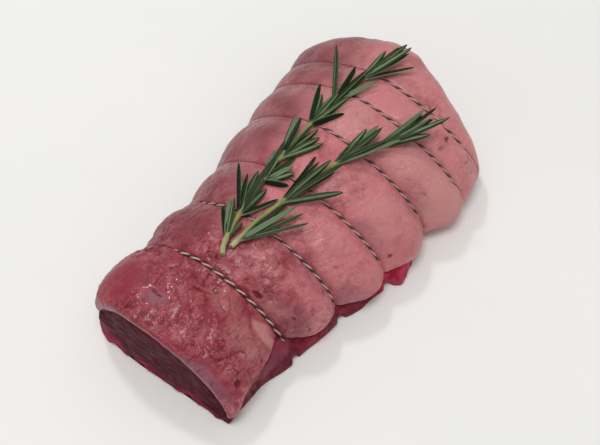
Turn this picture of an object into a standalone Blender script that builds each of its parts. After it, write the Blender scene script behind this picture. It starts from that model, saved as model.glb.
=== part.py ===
"""A raw picanha (rump cap) tied as a roasting joint, with two sprigs of rosemary on top.

Metres, +Z up. The joint lies along X: the butcher's cut end faces -X, the rounded heel faces +X, and its
left side is +Y. The origin is on the flat underside, about the middle of the length.
"""

import math

import bmesh
import bpy
from mathutils import Vector

# Length of the joint: the cut end and the tip of the heel.
CUT_X = -0.1170
HEEL_X = 0.1130

# Each twine loop pulls the meat in: place along X, half widths to the left and right, height of the crown.
LOOPS = (
    (-0.0697, 0.0468, 0.0357, 0.0425),
    (-0.0374, 0.0463, 0.0455, 0.0468),
    (-0.0072, 0.0493, 0.0553, 0.0489),
    (0.0272, 0.0536, 0.0578, 0.0510),
    (0.0540, 0.0561, 0.0663, 0.0510),
    (0.0740, 0.0574, 0.0646, 0.0493),
)
CUT_SECTION = (0.0472, 0.0404, 0.0425)

# Between two loops the meat swells into a lobe: half widths to the left and right, height of the crown.
LOBES = (
    (0.0535, 0.0438, 0.0455),
    (0.0520, 0.0502, 0.0493),
    (0.0510, 0.0599, 0.0514),
    (0.0561, 0.0655, 0.0540),
    (0.0587, 0.0701, 0.0540),
    (0.0595, 0.0693, 0.0523),
    (0.0625, 0.0672, 0.0510),
)
SWELL_POWER = 0.6
HEEL_SWOLLEN_AT = 0.8

# Cross-section: the widest level and the fullness of the dome on each side, and the crown's place.
WIDEST_LEFT_CUT, WIDEST_LEFT_HEEL = 0.0204, 0.0106
WIDEST_RIGHT_CUT, WIDEST_RIGHT_HEEL = 0.0102, 0.0153
POWER_LEFT_CUT, POWER_LEFT_TIED = 2.30, 1.55
POWER_RIGHT_CUT, POWER_RIGHT_HEEL = 1.80, 1.50
LOBE_FULLNESS = 0.22
FOOT_POWER = 3.2
WIDEST_LEFT_HURRY = 1.8
WIDEST_LIMIT = 0.45
CROWN_MARGIN = 0.2
CROWN_Y_CUT, CROWN_Y_HEEL = 0.0136, -0.0051
HEEL_TIP_Y = 0.0170
HEEL_TIP_Z = 0.0238
HEEL_TIP_THICK = 0.0010
HEEL_FALL_LEFT, HEEL_FALL_RIGHT, HEEL_FALL_TOP = (3.0, 0.5), (1.4, 0.72), (3.0, 0.5)

# The bare foot of the lean: (place along X, half width on the board) down the right side and the left side.
FOOT_RIGHT = (
    (-0.1170, 0.0389), (-0.0944, 0.0400), (-0.0697, 0.0463), (-0.0425, 0.0510), (-0.0221, 0.0574),
    (-0.0068, 0.0608), (-0.0009, 0.0663), (0.0110, 0.0642), (0.0272, 0.0527), (0.0765, 0.0578),
)
FOOT_LEFT = ((-0.1170, 0.0450), (-0.0893, 0.0476), (-0.0374, 0.0425), (0.0255, 0.0485), (0.0765, 0.0510))
FOOT_STEPS = 4
FOOT_ROUND = 0.8
BOARD_STEPS = 4
SHOULDER_DROP = 0.0010
HEEL_SHARE_LENGTH = 0.010

# The twine, and the flat-bottomed grooves it lies in, which also cross the underside.
TWINE_RADIUS = 0.0009
TWINE_SIDES = 6
TWINE_STEPS = 40
CORNER_WEIGHT = 0.010
GAP = 0.00035
GROOVE_HALF_WIDTH = 0.0014
GROOVE_SLOPE = 0.0019
GROOVE_UNDER = 0.0027
GROOVE_FOOT = 0.0060

# The fat cap: thickness on the lobes and under the twine, and more at the left lip of the cut end.
CAP_THICK_LOBE = 0.0038
CAP_THICK_LOOP = 0.0022
CAP_THICK_LIP = 0.0021
CAP_EDGE_SHARE = 0.6
CAP_EDGE_REACH = 0.15
LIP_END, LIP_REACH = 0.25, 0.15
CAP_TO_LEAN = 0.0005

# Heights above the board at which the cap's hanging edges end. Near the cut end each height settles over a
# length, and from a place towards the heel it settles again: (place along X, length). On the right of the
# front lobe the edge is lifted: how far, over what length behind the cut, and (place, length) of its fall.
EDGE_LEFT_CUT, EDGE_LEFT, EDGE_LEFT_LENGTH = 0.0238, 0.0102, 0.085
EDGE_RIGHT_CUT, EDGE_RIGHT, EDGE_RIGHT_LENGTH = 0.0085, 0.0119, 0.026
EDGE_LIFT, EDGE_LIFT_LENGTH, EDGE_LIFT_FALL = 0.0085, 0.011, (-0.082, 0.026)
EDGE_HEEL = 0.0042
EDGE_HEEL_LEFT, EDGE_HEEL_RIGHT = (0.051, 0.042), (0.002, 0.026)

# The cut end leans back and bows away to the left.
CUT_LEAN = 0.08
CUT_BOW = 3.5
CUT_BOW_Y = 0.0128

# The rosemary: each stem's route over the meat as (x, y), and its leaf nodes, each with the distance from the
# cut end of the stem and the (angle off the stem in degrees, left positive, and length) of its leaves.
SPRIGS = {
    "rosemary_left": (
        ((-0.0635, 0.0015), (-0.0575, 0.0045), (-0.042, 0.008), (-0.019, 0.010), (0.008, 0.0105),
         (0.0425, 0.009), (0.062, 0.006), (0.072, 0.003)),
        (
            (0.008, ((25, 0.019), (12, 0.013), (9, 0.023))),
            (0.023, ((27, 0.032), (13, 0.021), (3, 0.038), (-15, 0.019), (-38, 0.022))),
            (0.046, ((7, 0.020), (-14, 0.021), (-29, 0.016), (-44, 0.017), (-70, 0.014))),
            (0.062, ((20, 0.032), (12, 0.026), (5, 0.025), (-17, 0.026), (-29, 0.023), (-39, 0.024))),
            (0.088, ((24, 0.027), (6, 0.017), (-7, 0.018), (-15, 0.026), (-30, 0.019))),
            (0.108, ((33, 0.036), (11, 0.022), (-2, 0.021), (-12, 0.017), (-27, 0.026))),
            (0.129, ((12, 0.024), (3, 0.031), (-9, 0.034), (-19, 0.030), (-30, 0.031))),
        ),
    ),
    "rosemary_right": (
        ((-0.0565, 0.0), (-0.051, 0.0), (-0.039, -0.001), (-0.025, -0.0045), (-0.006, -0.0085),
         (0.009, -0.0135), (0.022, -0.0185), (0.034, -0.0245), (0.042, -0.029)),
        (
            (0.002, ((-14, 0.035), (-25, 0.037), (-35, 0.037))),
            (0.033, ((12, 0.033), (3, 0.030), (-6, 0.038), (-14, 0.031), (-36, 0.032))),
            (0.069, ((18, 0.023), (9, 0.036), (-1, 0.028), (-9, 0.026), (-17, 0.038))),
            (0.096, ((17, 0.028), (5, 0.036), (-3, 0.038), (-11, 0.040))),
        ),
    ),
}
STEM_RADIUS, STEM_TIP_RADIUS = 0.0013, 0.0007
STEM_SIDES = 6
STEM_STEPS = 16
STEM_REACH = 0.008
LEAF_HALF_WIDTH = 0.0014
LEAF_HALF_THICK = 0.00035
LEAF_STATIONS = (0.0, 0.30, 0.65, 0.90)
LEAF_WIDTHS = (0.35, 0.90, 1.0, 0.60)
LEAF_LIFTS = (4.0, 9.0, 1.0, 6.0)
LEAF_LIFT_OVER_STEM = 11.0
LEAF_OVER_STEM = 10.0
LEAF_CLEAR = 0.0006
LEAF_DROOP = 0.4
TOUCH_REACH = 0.004

# Mesh divisions of the meat.
TOP_STEPS = 16
LOBE_STATIONS = (0.0, 0.08, 0.24, 0.50, 0.76, 0.92, 1.0)
HEEL_STATIONS = (0.0, 0.10, 0.28, 0.50, 0.72, 0.88, 0.96, 0.995)
FINE = 240
ROUTE_STEPS = 1440

# Colours and roughness of the fat, the lean, the twine and the rosemary.
FAT_LOOK = ((0.62, 0.28, 0.26), 0.38)
LEAN_LOOK = ((0.25, 0.035, 0.055), 0.45)
TWINE_LOOK = ((0.42, 0.36, 0.34), 0.80)
ROSEMARY_LOOK = ((0.09, 0.15, 0.07), 0.55)


def mix(a, b, t):
    return a + (b - a) * t


def smooth(t):
    t = max(0.0, min(1.0, t))
    return t * t * (3.0 - 2.0 * t)


def swell(s):
    """How far a lobe has swollen at s, from 0 at one loop to 1 at its middle and 0 at the next loop."""
    return math.sin(math.pi * max(0.0, min(1.0, s))) ** SWELL_POWER


def heel_fall(t, p, q):
    """The round fall of a half width or height from the last loop, t = 0, to the heel's tip, t = 1."""
    return max(0.0, 1.0 - t**p) ** q


def along(x):
    """0 at the cut end and 1 at the heel."""
    return (x - CUT_X) / (HEEL_X - CUT_X)


def cut_fade(x):
    """1 at the cut end, falling to 0 at the first loop."""
    return max(0.0, 1.0 - (x - CUT_X) / (LOOPS[0][0] - CUT_X))


def read_line(points, x):
    """A smooth line through (x, value) points, flat at each point."""
    for (xa, va), (xb, vb) in zip(points, points[1:]):
        if x < xb:
            return mix(va, vb, smooth((x - xa) / (xb - xa)))
    return points[-1][1]


def heel_start():
    return LOOPS[-1][0] + GROOVE_HALF_WIDTH


def outline(x):
    """Half widths to the left and right, crown height and how swollen the meat is, at x."""
    ends = [(CUT_X, *CUT_SECTION), *LOOPS]
    for k in range(len(LOOPS)):
        a, b = ends[k], ends[k + 1]
        if x <= b[0]:
            start = a[0] if k == 0 else a[0] + GROOVE_HALF_WIDTH
            stop = b[0] - GROOVE_HALF_WIDTH
            s = max(0.0, min(1.0, (x - start) / (stop - start)))
            rise = swell(s)
            middle = [mix(a[i], b[i], 0.5) for i in (1, 2, 3)]
            tied = [mix(a[i], b[i], s) for i in (1, 2, 3)]
            return [w + (full - m) * rise for w, full, m in zip(tied, LOBES[k], middle)] + [rise]
    t = max(0.0, min(1.0, (x - heel_start()) / (HEEL_X - heel_start())))
    rise = swell(min(t / HEEL_SWOLLEN_AT, 0.5))
    left, right, top = (mix(w, full, rise) for w, full in zip(LOOPS[-1][1:], LOBES[-1]))
    left = HEEL_TIP_Y + (left - HEEL_TIP_Y) * heel_fall(t, *HEEL_FALL_LEFT)
    right = -HEEL_TIP_Y + (right + HEEL_TIP_Y) * heel_fall(t, *HEEL_FALL_RIGHT)
    top = HEEL_TIP_Z + (top - HEEL_TIP_Z) * heel_fall(t, *HEEL_FALL_TOP)
    return [left, right, top, rise]


def cap_edges(x):
    """Heights at which the fat cap ends on the left and on the right."""
    left = mix(EDGE_LEFT_CUT, EDGE_LEFT, smooth((x - CUT_X) / EDGE_LEFT_LENGTH))
    right = mix(EDGE_RIGHT_CUT, EDGE_RIGHT, smooth((x - CUT_X) / EDGE_RIGHT_LENGTH))
    fall_at, fall_length = EDGE_LIFT_FALL
    right += EDGE_LIFT * smooth((x - CUT_X) / EDGE_LIFT_LENGTH) * (1.0 - smooth((x - fall_at) / fall_length))
    heights = []
    for height, (start, length) in ((left, EDGE_HEEL_LEFT), (right, EDGE_HEEL_RIGHT)):
        heights.append(mix(height, EDGE_HEEL, smooth((x - start) / length)))
    return heights


class Section:
    """The skin's cross-section at x, drawn in by inset all round. Angle 0 is the left side, pi the right."""

    def __init__(self, x, inset=0.0):
        left, right, top, rise = outline(x)
        a = along(x)
        self.x = x
        middle = mix(CROWN_Y_CUT, CROWN_Y_HEEL, a)
        margin = CROWN_MARGIN * (left + right)
        self.middle = max(margin - right, min(left - margin, middle))
        tied = smooth(1.0 - cut_fade(x))
        full = LOBE_FULLNESS * rise
        power_left = mix(POWER_LEFT_CUT, POWER_LEFT_TIED, tied) + full * tied
        power_right = mix(POWER_RIGHT_CUT, POWER_RIGHT_HEEL, a) + full
        limit = WIDEST_LIMIT * top
        widest_left = min(limit, mix(WIDEST_LEFT_CUT, WIDEST_LEFT_HEEL, smooth(WIDEST_LEFT_HURRY * a)))
        widest_right = min(limit, mix(WIDEST_RIGHT_CUT, WIDEST_RIGHT_HEEL, a))
        half_left = max(left - self.middle - inset, 0.5 * HEEL_TIP_THICK)
        half_right = max(right + self.middle - inset, 0.5 * HEEL_TIP_THICK)
        self.sides = (
            (half_left, widest_left, top - widest_left - inset, power_left),
            (half_right, widest_right, top - widest_right - inset, power_right),
        )

    def point(self, angle):
        c, s = math.cos(angle), math.sin(angle)
        half, widest, dome, power = self.sides[0 if c >= 0 else 1]
        if s >= 0:
            e = 2.0 / power
            z = widest + dome * s**e
        else:
            e = 2.0 / FOOT_POWER
            z = widest * (1.0 - abs(s) ** e)
        return Vector((self.x, self.middle + math.copysign(abs(c) ** e, c) * half, z))

    def angle_at(self, z, on_left):
        """The angle at which the surface is at height z, on one side."""
        widest, dome, power = self.sides[0 if on_left else 1][1:]
        if z > widest:
            a = math.asin(min(1.0, ((z - widest) / dome) ** (power / 2.0)))
        else:
            a = -math.asin((1.0 - z / widest) ** (FOOT_POWER / 2.0))
        return a if on_left else math.pi - a

    def top_at(self, y):
        """Height of the dome at y."""
        half, widest, dome, power = self.sides[0 if y >= self.middle else 1]
        u = min(1.0, abs(y - self.middle) / half)
        return widest + dome * (1.0 - u**power) ** (1.0 / power)


def stations():
    """Places of the cross-sections along X: even on each lobe, and two at each groove."""
    places = []
    starts = [CUT_X] + [row[0] + GROOVE_HALF_WIDTH for row in LOOPS]
    stops = [row[0] - GROOVE_HALF_WIDTH for row in LOOPS]
    for a, b in zip(starts, stops):
        places += [mix(a, b, s) for s in LOBE_STATIONS]
    places += [mix(starts[-1], HEEL_X, t) for t in HEEL_STATIONS]
    return places


def cap_angles(x):
    """Angles across the cap, from its left edge over the crown to its right edge, evenly spaced on the skin."""
    skin = Section(x)
    z_left, z_right = cap_edges(x)
    first, last = skin.angle_at(z_left, True), skin.angle_at(z_right, False)
    points = [skin.point(mix(first, last, k / FINE)) for k in range(FINE + 1)]
    run = [0.0]
    for p, q in zip(points, points[1:]):
        run.append(run[-1] + (q - p).length)
    angles, k = [], 0
    for j in range(TOP_STEPS + 1):
        want = run[-1] * j / TOP_STEPS
        while k < FINE - 1 and run[k + 1] < want:
            k += 1
        share = (want - run[k]) / max(run[k + 1] - run[k], 1e-9)
        angles.append(mix(first, last, (k + share) / FINE))
    return angles


def cap_thickness(x, j):
    """Thickness of the cap: less under the twine and at its own edges, more at the left lip of the cut end."""
    across = j / TOP_STEPS
    edge = min(across, 1.0 - across)
    base = mix(CAP_THICK_LOOP, CAP_THICK_LOBE, max(outline(x)[3], cut_fade(x)))
    lip = CAP_THICK_LIP * cut_fade(x) * smooth((LIP_END - across) / LIP_REACH)
    return base * mix(CAP_EDGE_SHARE, 1.0, smooth(edge / CAP_EDGE_REACH)) + lip


def cap_rows(x):
    """The cap's outer skin and inner face at x."""
    skin = Section(x)
    outer, inner = [], []
    for j, a in enumerate(cap_angles(x)):
        outer.append(skin.point(a))
        inner.append(Section(x, cap_thickness(x, j)).point(a))
    return outer, inner


def shorten(x, by):
    """x moved in from the heel, for what lies inside the cap."""
    start = heel_start()
    return x if x <= start else start + (x - start) * (HEEL_X - by - start) / (HEEL_X - start)


def lean_back(p):
    """The slope and bow of the cut end, fading out towards the first loop."""
    p.x += cut_fade(p.x) * (CUT_LEAN * p.z + CUT_BOW * max(0.0, p.y - CUT_BOW_Y) ** 2)
    return p


def groove(x):
    """1 in a twine groove and 0 a little way off it."""
    nearest = min(abs(x - row[0]) for row in LOOPS)
    return 1.0 - smooth((nearest - GROOVE_HALF_WIDTH) / GROOVE_SLOPE)


def heel_share(x):
    """0 up to the last loop, 1 on most of the heel, where the lean's foot lies just inside the cap."""
    return smooth((x - LOOPS[-1][0]) / HEEL_SHARE_LENGTH)


def foot_curve(start, shoulder, foot, floor):
    """The foot of the lean on one side: from under the cap's edge, rounding out and down to the board."""
    points = [Vector((start.x, start.y, shoulder))]
    for k in range(1, FOOT_STEPS + 1):
        a = 0.5 * math.pi * k / FOOT_STEPS
        y = mix(start.y, foot, math.sin(a) ** FOOT_ROUND)
        z = mix(floor, shoulder, max(0.0, math.cos(a)) ** FOOT_ROUND)
        points.append(Vector((start.x, y, z)))
    return points


def lean_ring(x):
    """The lean's outline at x: under the cap, then down the right side, along the board and up the left side."""
    skin, under = cap_rows(x)
    ring = []
    for j, a in enumerate(cap_angles(x)):
        ring.append(Section(x, cap_thickness(x, j) + CAP_TO_LEAN).point(a))
    in_groove = groove(x)
    heel = heel_share(x)
    feet = []
    for side, line, j in ((-1, FOOT_RIGHT, -1), (1, FOOT_LEFT, 0)):
        foot = mix(side * (read_line(line, x) - GROOVE_FOOT * in_groove), ring[j].y, heel)
        shoulder = min(skin[j].z, under[j].z) - SHOULDER_DROP
        feet.append(foot_curve(ring[j], shoulder, foot, GROOVE_UNDER * in_groove))
    right, left = feet
    board = [right[-1].lerp(left[-1], k / BOARD_STEPS) for k in range(1, BOARD_STEPS)]
    ring += right + board + left[::-1]
    for p in ring:
        p.x = shorten(x, CAP_THICK_LOBE + CAP_TO_LEAN)
    return ring


def new_object(name, bm, colour, roughness):
    bmesh.ops.recalc_face_normals(bm, faces=bm.faces)
    mesh = bpy.data.meshes.new(name)
    bm.to_mesh(mesh)
    bm.free()
    mesh.shade_smooth()
    mesh.set_sharp_from_angle(angle=math.radians(40.0))
    material = bpy.data.materials.new(name)
    material.use_nodes = True
    shader = material.node_tree.nodes["Principled BSDF"]
    shader.inputs["Base Color"].default_value = (*colour, 1.0)
    shader.inputs["Roughness"].default_value = roughness
    shader.inputs["Metallic"].default_value = 0.0
    mesh.materials.append(material)
    thing = bpy.data.objects.new(name, mesh)
    bpy.context.scene.collection.objects.link(thing)
    return thing


def grid(bm, rows, closed=False):
    """Faces between rows of points. Returns the rows of vertices."""
    verts = [[bm.verts.new(p) for p in row] for row in rows]
    for a, b in zip(verts, verts[1:]):
        n = len(a)
        for j in range(n if closed else n - 1):
            k = (j + 1) % n
            bm.faces.new((a[j], a[k], b[k], b[j]))
    return verts


def fan(bm, ring):
    """Closes a ring of vertices with triangles about its middle."""
    middle = bm.verts.new(sum((v.co for v in ring), Vector()) / len(ring))
    for p, q in zip(ring, ring[1:] + ring[:1]):
        bm.faces.new((p, q, middle))


def fat_cap():
    """The blanket of fat over the top, the sides and the heel, open underneath and at the cut end."""
    outer, inner = [], []
    for x in stations():
        skin, under = cap_rows(x)
        for p in under:
            p.x = shorten(x, CAP_THICK_LOBE)
        outer.append([lean_back(p) for p in skin])
        inner.append([lean_back(p) for p in under])
    bm = bmesh.new()
    a = grid(bm, outer)
    b = grid(bm, inner)
    n, last = TOP_STEPS, len(a) - 1
    for i in range(last):
        bm.faces.new((a[i][0], a[i + 1][0], b[i + 1][0], b[i][0]))
        bm.faces.new((a[i][n], a[i + 1][n], b[i + 1][n], b[i][n]))
    for j in range(n):
        bm.faces.new((a[0][j], a[0][j + 1], b[0][j + 1], b[0][j]))
    bm.faces.new(a[last])
    bm.faces.new(b[last])
    bm.faces.new((a[last][0], a[last][n], b[last][n], b[last][0]))
    return new_object("fat_cap", bm, *FAT_LOOK)


def lean_meat():
    """The muscle: one solid, bare at the cut end, along the foot of both sides and underneath."""
    bm = bmesh.new()
    rows = grid(bm, [[lean_back(p) for p in lean_ring(x)] for x in stations()], closed=True)
    fan(bm, rows[0])
    fan(bm, rows[-1])
    return new_object("lean_meat", bm, *LEAN_LOOK)


def hull(points):
    """The convex hull of (y, z) points, anticlockwise."""
    points = sorted(set(points))
    halves = []
    for run in (points, points[::-1]):
        half = []
        for p in run:
            while len(half) > 1 and turn(half[-2], half[-1], p) <= 0:
                half.pop()
            half.append(p)
        halves.append(half[:-1])
    return halves[0] + halves[1]


def turn(a, b, c):
    return (b[0] - a[0]) * (c[1] - a[1]) - (b[1] - a[1]) * (c[0] - a[0])


def tied_route(x, steps):
    """The taut line round the joint at x, as (y, z, outward y, outward z), closest together at the corners."""
    meat = []
    for place in (x - GROOVE_HALF_WIDTH, x + GROOVE_HALF_WIDTH):
        meat += [(p.y, p.z) for p in cap_rows(place)[0] + lean_ring(place)]
    corners = hull(meat)
    off = TWINE_RADIUS + GAP
    fine = []
    for k in range(ROUTE_STEPS):
        a = 2.0 * math.pi * k / ROUTE_STEPS
        y, z = max(corners, key=lambda p: p[0] * math.cos(a) + p[1] * math.sin(a))
        fine.append((y + off * math.cos(a), z + off * math.sin(a), a))
    run = [0.0]
    for p, q in zip(fine, fine[1:] + fine[:1]):
        run.append(run[-1] + math.dist(p[:2], q[:2]) + CORNER_WEIGHT * 2.0 * math.pi / ROUTE_STEPS)
    route, k = [], 0
    for i in range(steps):
        want = run[-1] * i / steps
        while run[k + 1] < want:
            k += 1
        p, q = fine[k], fine[(k + 1) % len(fine)]
        share = (want - run[k]) / (run[k + 1] - run[k])
        route.append((mix(p[0], q[0], share), mix(p[1], q[1], share), math.cos(p[2]), math.sin(p[2])))
    return route


def twine(number, x):
    """One loop of twine, closed round the joint in its groove."""
    rows = []
    for y, z, out_y, out_z in tied_route(x, TWINE_STEPS):
        ring = []
        for k in range(TWINE_SIDES):
            a = 2.0 * math.pi * (k + 0.5) / TWINE_SIDES
            out = TWINE_RADIUS * math.cos(a)
            ring.append(Vector((x + TWINE_RADIUS * math.sin(a), y + out * out_y, z + out * out_z)))
        rows.append(ring)
    bm = bmesh.new()
    verts = [[bm.verts.new(p) for p in row] for row in rows]
    for a, b in zip(verts, verts[1:] + verts[:1]):
        for j in range(TWINE_SIDES):
            k = (j + 1) % TWINE_SIDES
            bm.faces.new((a[j], a[k], b[k], b[j]))
    return new_object(f"twine_{number}", bm, *TWINE_LOOK)


def rest_height(x, y):
    """Height at which something on the joint rests at (x, y): on the skin, or on the twine near a loop."""
    last = HEEL_X - TOUCH_REACH
    places = [max(CUT_X, min(last, x + d)) for d in (-TOUCH_REACH, 0.0, TOUCH_REACH)]
    height = max(Section(place).top_at(y) for place in places)
    for row in LOOPS:
        if abs(x - row[0]) < TOUCH_REACH:
            height = max(height, Section(row[0]).top_at(y) + 2.0 * (TWINE_RADIUS + GAP))
    return height


def curve_points(points, steps):
    """Points evenly spaced along a smooth curve through the given ones."""
    padded = [2.0 * points[0] - points[1], *points, 2.0 * points[-1] - points[-2]]
    fine = []
    per_span = 24
    for a, b, c, d in zip(padded, padded[1:], padded[2:], padded[3:]):
        for k in range(per_span):
            t = k / per_span
            cubic = (3.0 * b - a - 3.0 * c + d) * t**3
            fine.append(0.5 * (2.0 * b + (c - a) * t + (2.0 * a - 5.0 * b + 4.0 * c - d) * t * t + cubic))
    fine.append(points[-1])
    run = [0.0]
    for p, q in zip(fine, fine[1:]):
        run.append(run[-1] + (q - p).length)
    result, k = [], 0
    for i in range(steps + 1):
        want = run[-1] * i / steps
        while k < len(run) - 2 and run[k + 1] < want:
            k += 1
        result.append(fine[k].lerp(fine[k + 1], (want - run[k]) / (run[k + 1] - run[k])))
    return result, run[-1]


def stem_line(route):
    """The stem's centre line, resting on the highest places under it. Returns its points and its length."""
    flat = [Vector((x, y, 0.0)) for x, y in route]
    steps = 4 * STEM_STEPS
    points, length = curve_points(flat, steps)
    reach = max(1, round(STEM_REACH / length * steps))
    rests = [rest_height(p.x, p.y) + STEM_RADIUS + LEAF_CLEAR for p in points]
    highest = [max(rests[max(0, i - reach):i + reach + 1]) for i in range(steps + 1)]
    for i, p in enumerate(points):
        near = highest[max(0, i - reach):i + reach + 1]
        p.z = sum(near) / len(near)
    return points, length


def leaf(bm, base, heading, length, lift):
    """One needle leaf from the stem's middle outward: flat, pointed, and laid over what is under it."""
    ahead = Vector((math.cos(heading), math.sin(heading), 0.0))
    side = Vector((-ahead.y, ahead.x, 0.0))
    rings = []
    for t, width in zip(LEAF_STATIONS + (1.0,), LEAF_WIDTHS + (0.0,)):
        line = base.z + math.tan(math.radians(lift)) * length * t * (1.0 - LEAF_DROOP * t)
        across = []
        for part in (1.0, 0.0, -1.0):
            p = base + ahead * (length * t) + side * (part * width * LEAF_HALF_WIDTH)
            clear = rest_height(p.x, p.y) + LEAF_HALF_THICK + LEAF_CLEAR
            p.z = max(line, clear)
            across.append(p)
        left, middle, right = across
        if width == 0.0:
            rings.append([bm.verts.new(middle)])
            continue
        up = Vector((0.0, 0.0, LEAF_HALF_THICK))
        rings.append([bm.verts.new(p) for p in (left, middle + up, right, middle - up)])
    bm.faces.new(rings[0])
    for a, b in zip(rings, rings[1:]):
        for j in range(4):
            k = (j + 1) % 4
            if len(b) == 1:
                bm.faces.new((a[j], a[k], b[0]))
            elif j in (0, 3):
                bm.faces.new((a[j], a[k], b[j]))
                bm.faces.new((a[k], b[k], b[j]))
            else:
                bm.faces.new((a[j], a[k], b[k]))
                bm.faces.new((a[j], b[k], b[j]))


def stem(bm, points):
    """A round tapering stem along the points, closed at both ends."""
    rows = []
    for i, p in enumerate(points):
        t = i / (len(points) - 1)
        ahead = (points[min(i + 1, len(points) - 1)] - points[max(i - 1, 0)]).normalized()
        side = ahead.cross(Vector((0.0, 0.0, 1.0))).normalized()
        up = side.cross(ahead)
        radius = mix(STEM_RADIUS, STEM_TIP_RADIUS, t)
        turns = [2.0 * math.pi * (k + 0.5) / STEM_SIDES for k in range(STEM_SIDES)]
        rows.append([p + radius * (math.cos(a) * side + math.sin(a) * up) for a in turns])
    verts = grid(bm, rows, closed=True)
    fan(bm, verts[0])
    fan(bm, verts[-1])


def rosemary(name, route, nodes):
    """One sprig: a stem with bunches of needle leaves at its nodes, fused into one solid."""
    points, length = stem_line(route)
    bm = bmesh.new()
    stem(bm, points[::4])
    sprig = new_object(name, bm, *ROSEMARY_LOOK)
    leaves = bpy.data.collections.new(name + "_leaves")
    count = 0
    for place, bunch in nodes:
        i = min(len(points) - 2, round(place / length * (len(points) - 1)))
        ahead = points[i + 1] - points[i]
        heading = math.atan2(ahead.y, ahead.x)
        for angle, leaf_length in bunch:
            lift = LEAF_LIFT_OVER_STEM if abs(angle) < LEAF_OVER_STEM else LEAF_LIFTS[count % len(LEAF_LIFTS)]
            bm = bmesh.new()
            leaf(bm, points[i], heading + math.radians(angle), leaf_length, lift)
            one = new_object(f"{name}_leaf_{count}", bm, *ROSEMARY_LOOK)
            leaves.objects.link(one)
            count += 1
    join = sprig.modifiers.new("join", "BOOLEAN")
    join.operation = "UNION"
    join.operand_type = "COLLECTION"
    join.collection = leaves
    join.solver = "EXACT"
    depsgraph = bpy.context.evaluated_depsgraph_get()
    fused = bpy.data.meshes.new_from_object(sprig.evaluated_get(depsgraph))
    sprig.modifiers.clear()
    sprig.data = fused
    for one in list(leaves.objects):
        bpy.data.objects.remove(one)
    bpy.data.collections.remove(leaves)
    return sprig


bpy.context.scene.unit_settings.system = "METRIC"
for old in list(bpy.data.objects):
    bpy.data.objects.remove(old)

lean_meat()
fat_cap()
for number, row in enumerate(LOOPS, start=1):
    twine(number, row[0])
for name, (route, nodes) in SPRIGS.items():
    rosemary(name, route, nodes)
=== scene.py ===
# %% [markdown]
# A picanha is the cap of the rump: a wedge of beef under a blanket of fat. This one is tied as a roasting
# joint with six loops of butcher's twine, and two sprigs of rosemary lie on it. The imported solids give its
# size and place. This lesson dresses them: it lays a finer skin on the same rules of shape, twists the twine,
# grows the leaves, and mixes the colours of wet raw meat.

# %% Start
import math
import random

import bmesh
import bpy
import numpy as np
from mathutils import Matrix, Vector, noise
from mathutils.bvhtree import BVHTree


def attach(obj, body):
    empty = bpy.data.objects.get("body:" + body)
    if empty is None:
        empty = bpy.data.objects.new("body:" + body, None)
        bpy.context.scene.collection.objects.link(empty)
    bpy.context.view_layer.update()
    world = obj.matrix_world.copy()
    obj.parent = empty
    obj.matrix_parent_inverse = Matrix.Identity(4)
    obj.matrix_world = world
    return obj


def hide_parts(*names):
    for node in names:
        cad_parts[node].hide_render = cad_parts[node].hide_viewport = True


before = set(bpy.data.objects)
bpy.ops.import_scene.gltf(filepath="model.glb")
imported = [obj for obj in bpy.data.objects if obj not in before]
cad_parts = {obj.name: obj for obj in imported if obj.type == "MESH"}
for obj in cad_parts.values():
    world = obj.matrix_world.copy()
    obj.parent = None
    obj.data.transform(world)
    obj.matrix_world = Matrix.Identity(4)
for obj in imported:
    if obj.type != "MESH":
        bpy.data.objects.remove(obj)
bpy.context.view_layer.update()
# Without a seed, the noise that bends the creases would start from the clock and differ each time.
NOISE_SEED = 5
noise.seed_set(NOISE_SEED)
print("solids:", ", ".join(sorted(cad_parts)))

# %% [markdown]
# The joint's shape follows a rule, so a few sizes give it. Each loop of twine pulls the meat in, and between
# two loops it swells into a lobe. The rows below say how wide and how high the meat is at each loop and lobe.
# They are the sizes that the solids were made from, so the dressed piece covers the solid one exactly.

# %% Sizes of the joint, in metres
MM = 0.001
CUT_X, HEEL_X = -0.1170, 0.1130
# Each loop: place along X, half widths to the left and right, height of the crown. A lobe has no place.
LOOPS = (
    (-0.0697, 0.0468, 0.0357, 0.0425),
    (-0.0374, 0.0463, 0.0455, 0.0468),
    (-0.0072, 0.0493, 0.0553, 0.0489),
    (0.0272, 0.0536, 0.0578, 0.0510),
    (0.0540, 0.0561, 0.0663, 0.0510),
    (0.0740, 0.0574, 0.0646, 0.0493),
)
CUT_SECTION = (0.0472, 0.0404, 0.0425)
LOBES = (
    (0.0535, 0.0438, 0.0455),
    (0.0520, 0.0502, 0.0493),
    (0.0510, 0.0599, 0.0514),
    (0.0561, 0.0655, 0.0540),
    (0.0587, 0.0701, 0.0540),
    (0.0595, 0.0693, 0.0523),
    (0.0625, 0.0672, 0.0510),
)
SWELL_POWER = 0.6
TWINE_RADIUS, TWINE_GAP = 0.90 * MM, 0.35 * MM
# The twine's grooves: half width, slope, and depth in the underside, in the foot and in the foot that shows.
GROOVE_HALF_WIDTH, GROOVE_SLOPE = 1.4 * MM, 1.9 * MM
GROOVE_UNDER, GROOVE_FOOT, FOOT_SHOWN = 2.7 * MM, 6.0 * MM, 1.5 * MM
# The heel falls from the last groove to a blunt tip.
HEEL_START = LOOPS[-1][0] + GROOVE_HALF_WIDTH
HEEL_SWOLLEN_AT = 0.8
HEEL_TIP_Y, HEEL_TIP_Z = 0.0170, 0.0238
HEEL_FALL, HEEL_FALL_RIGHT = (3.0, 0.5), (1.4, 0.72)
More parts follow.
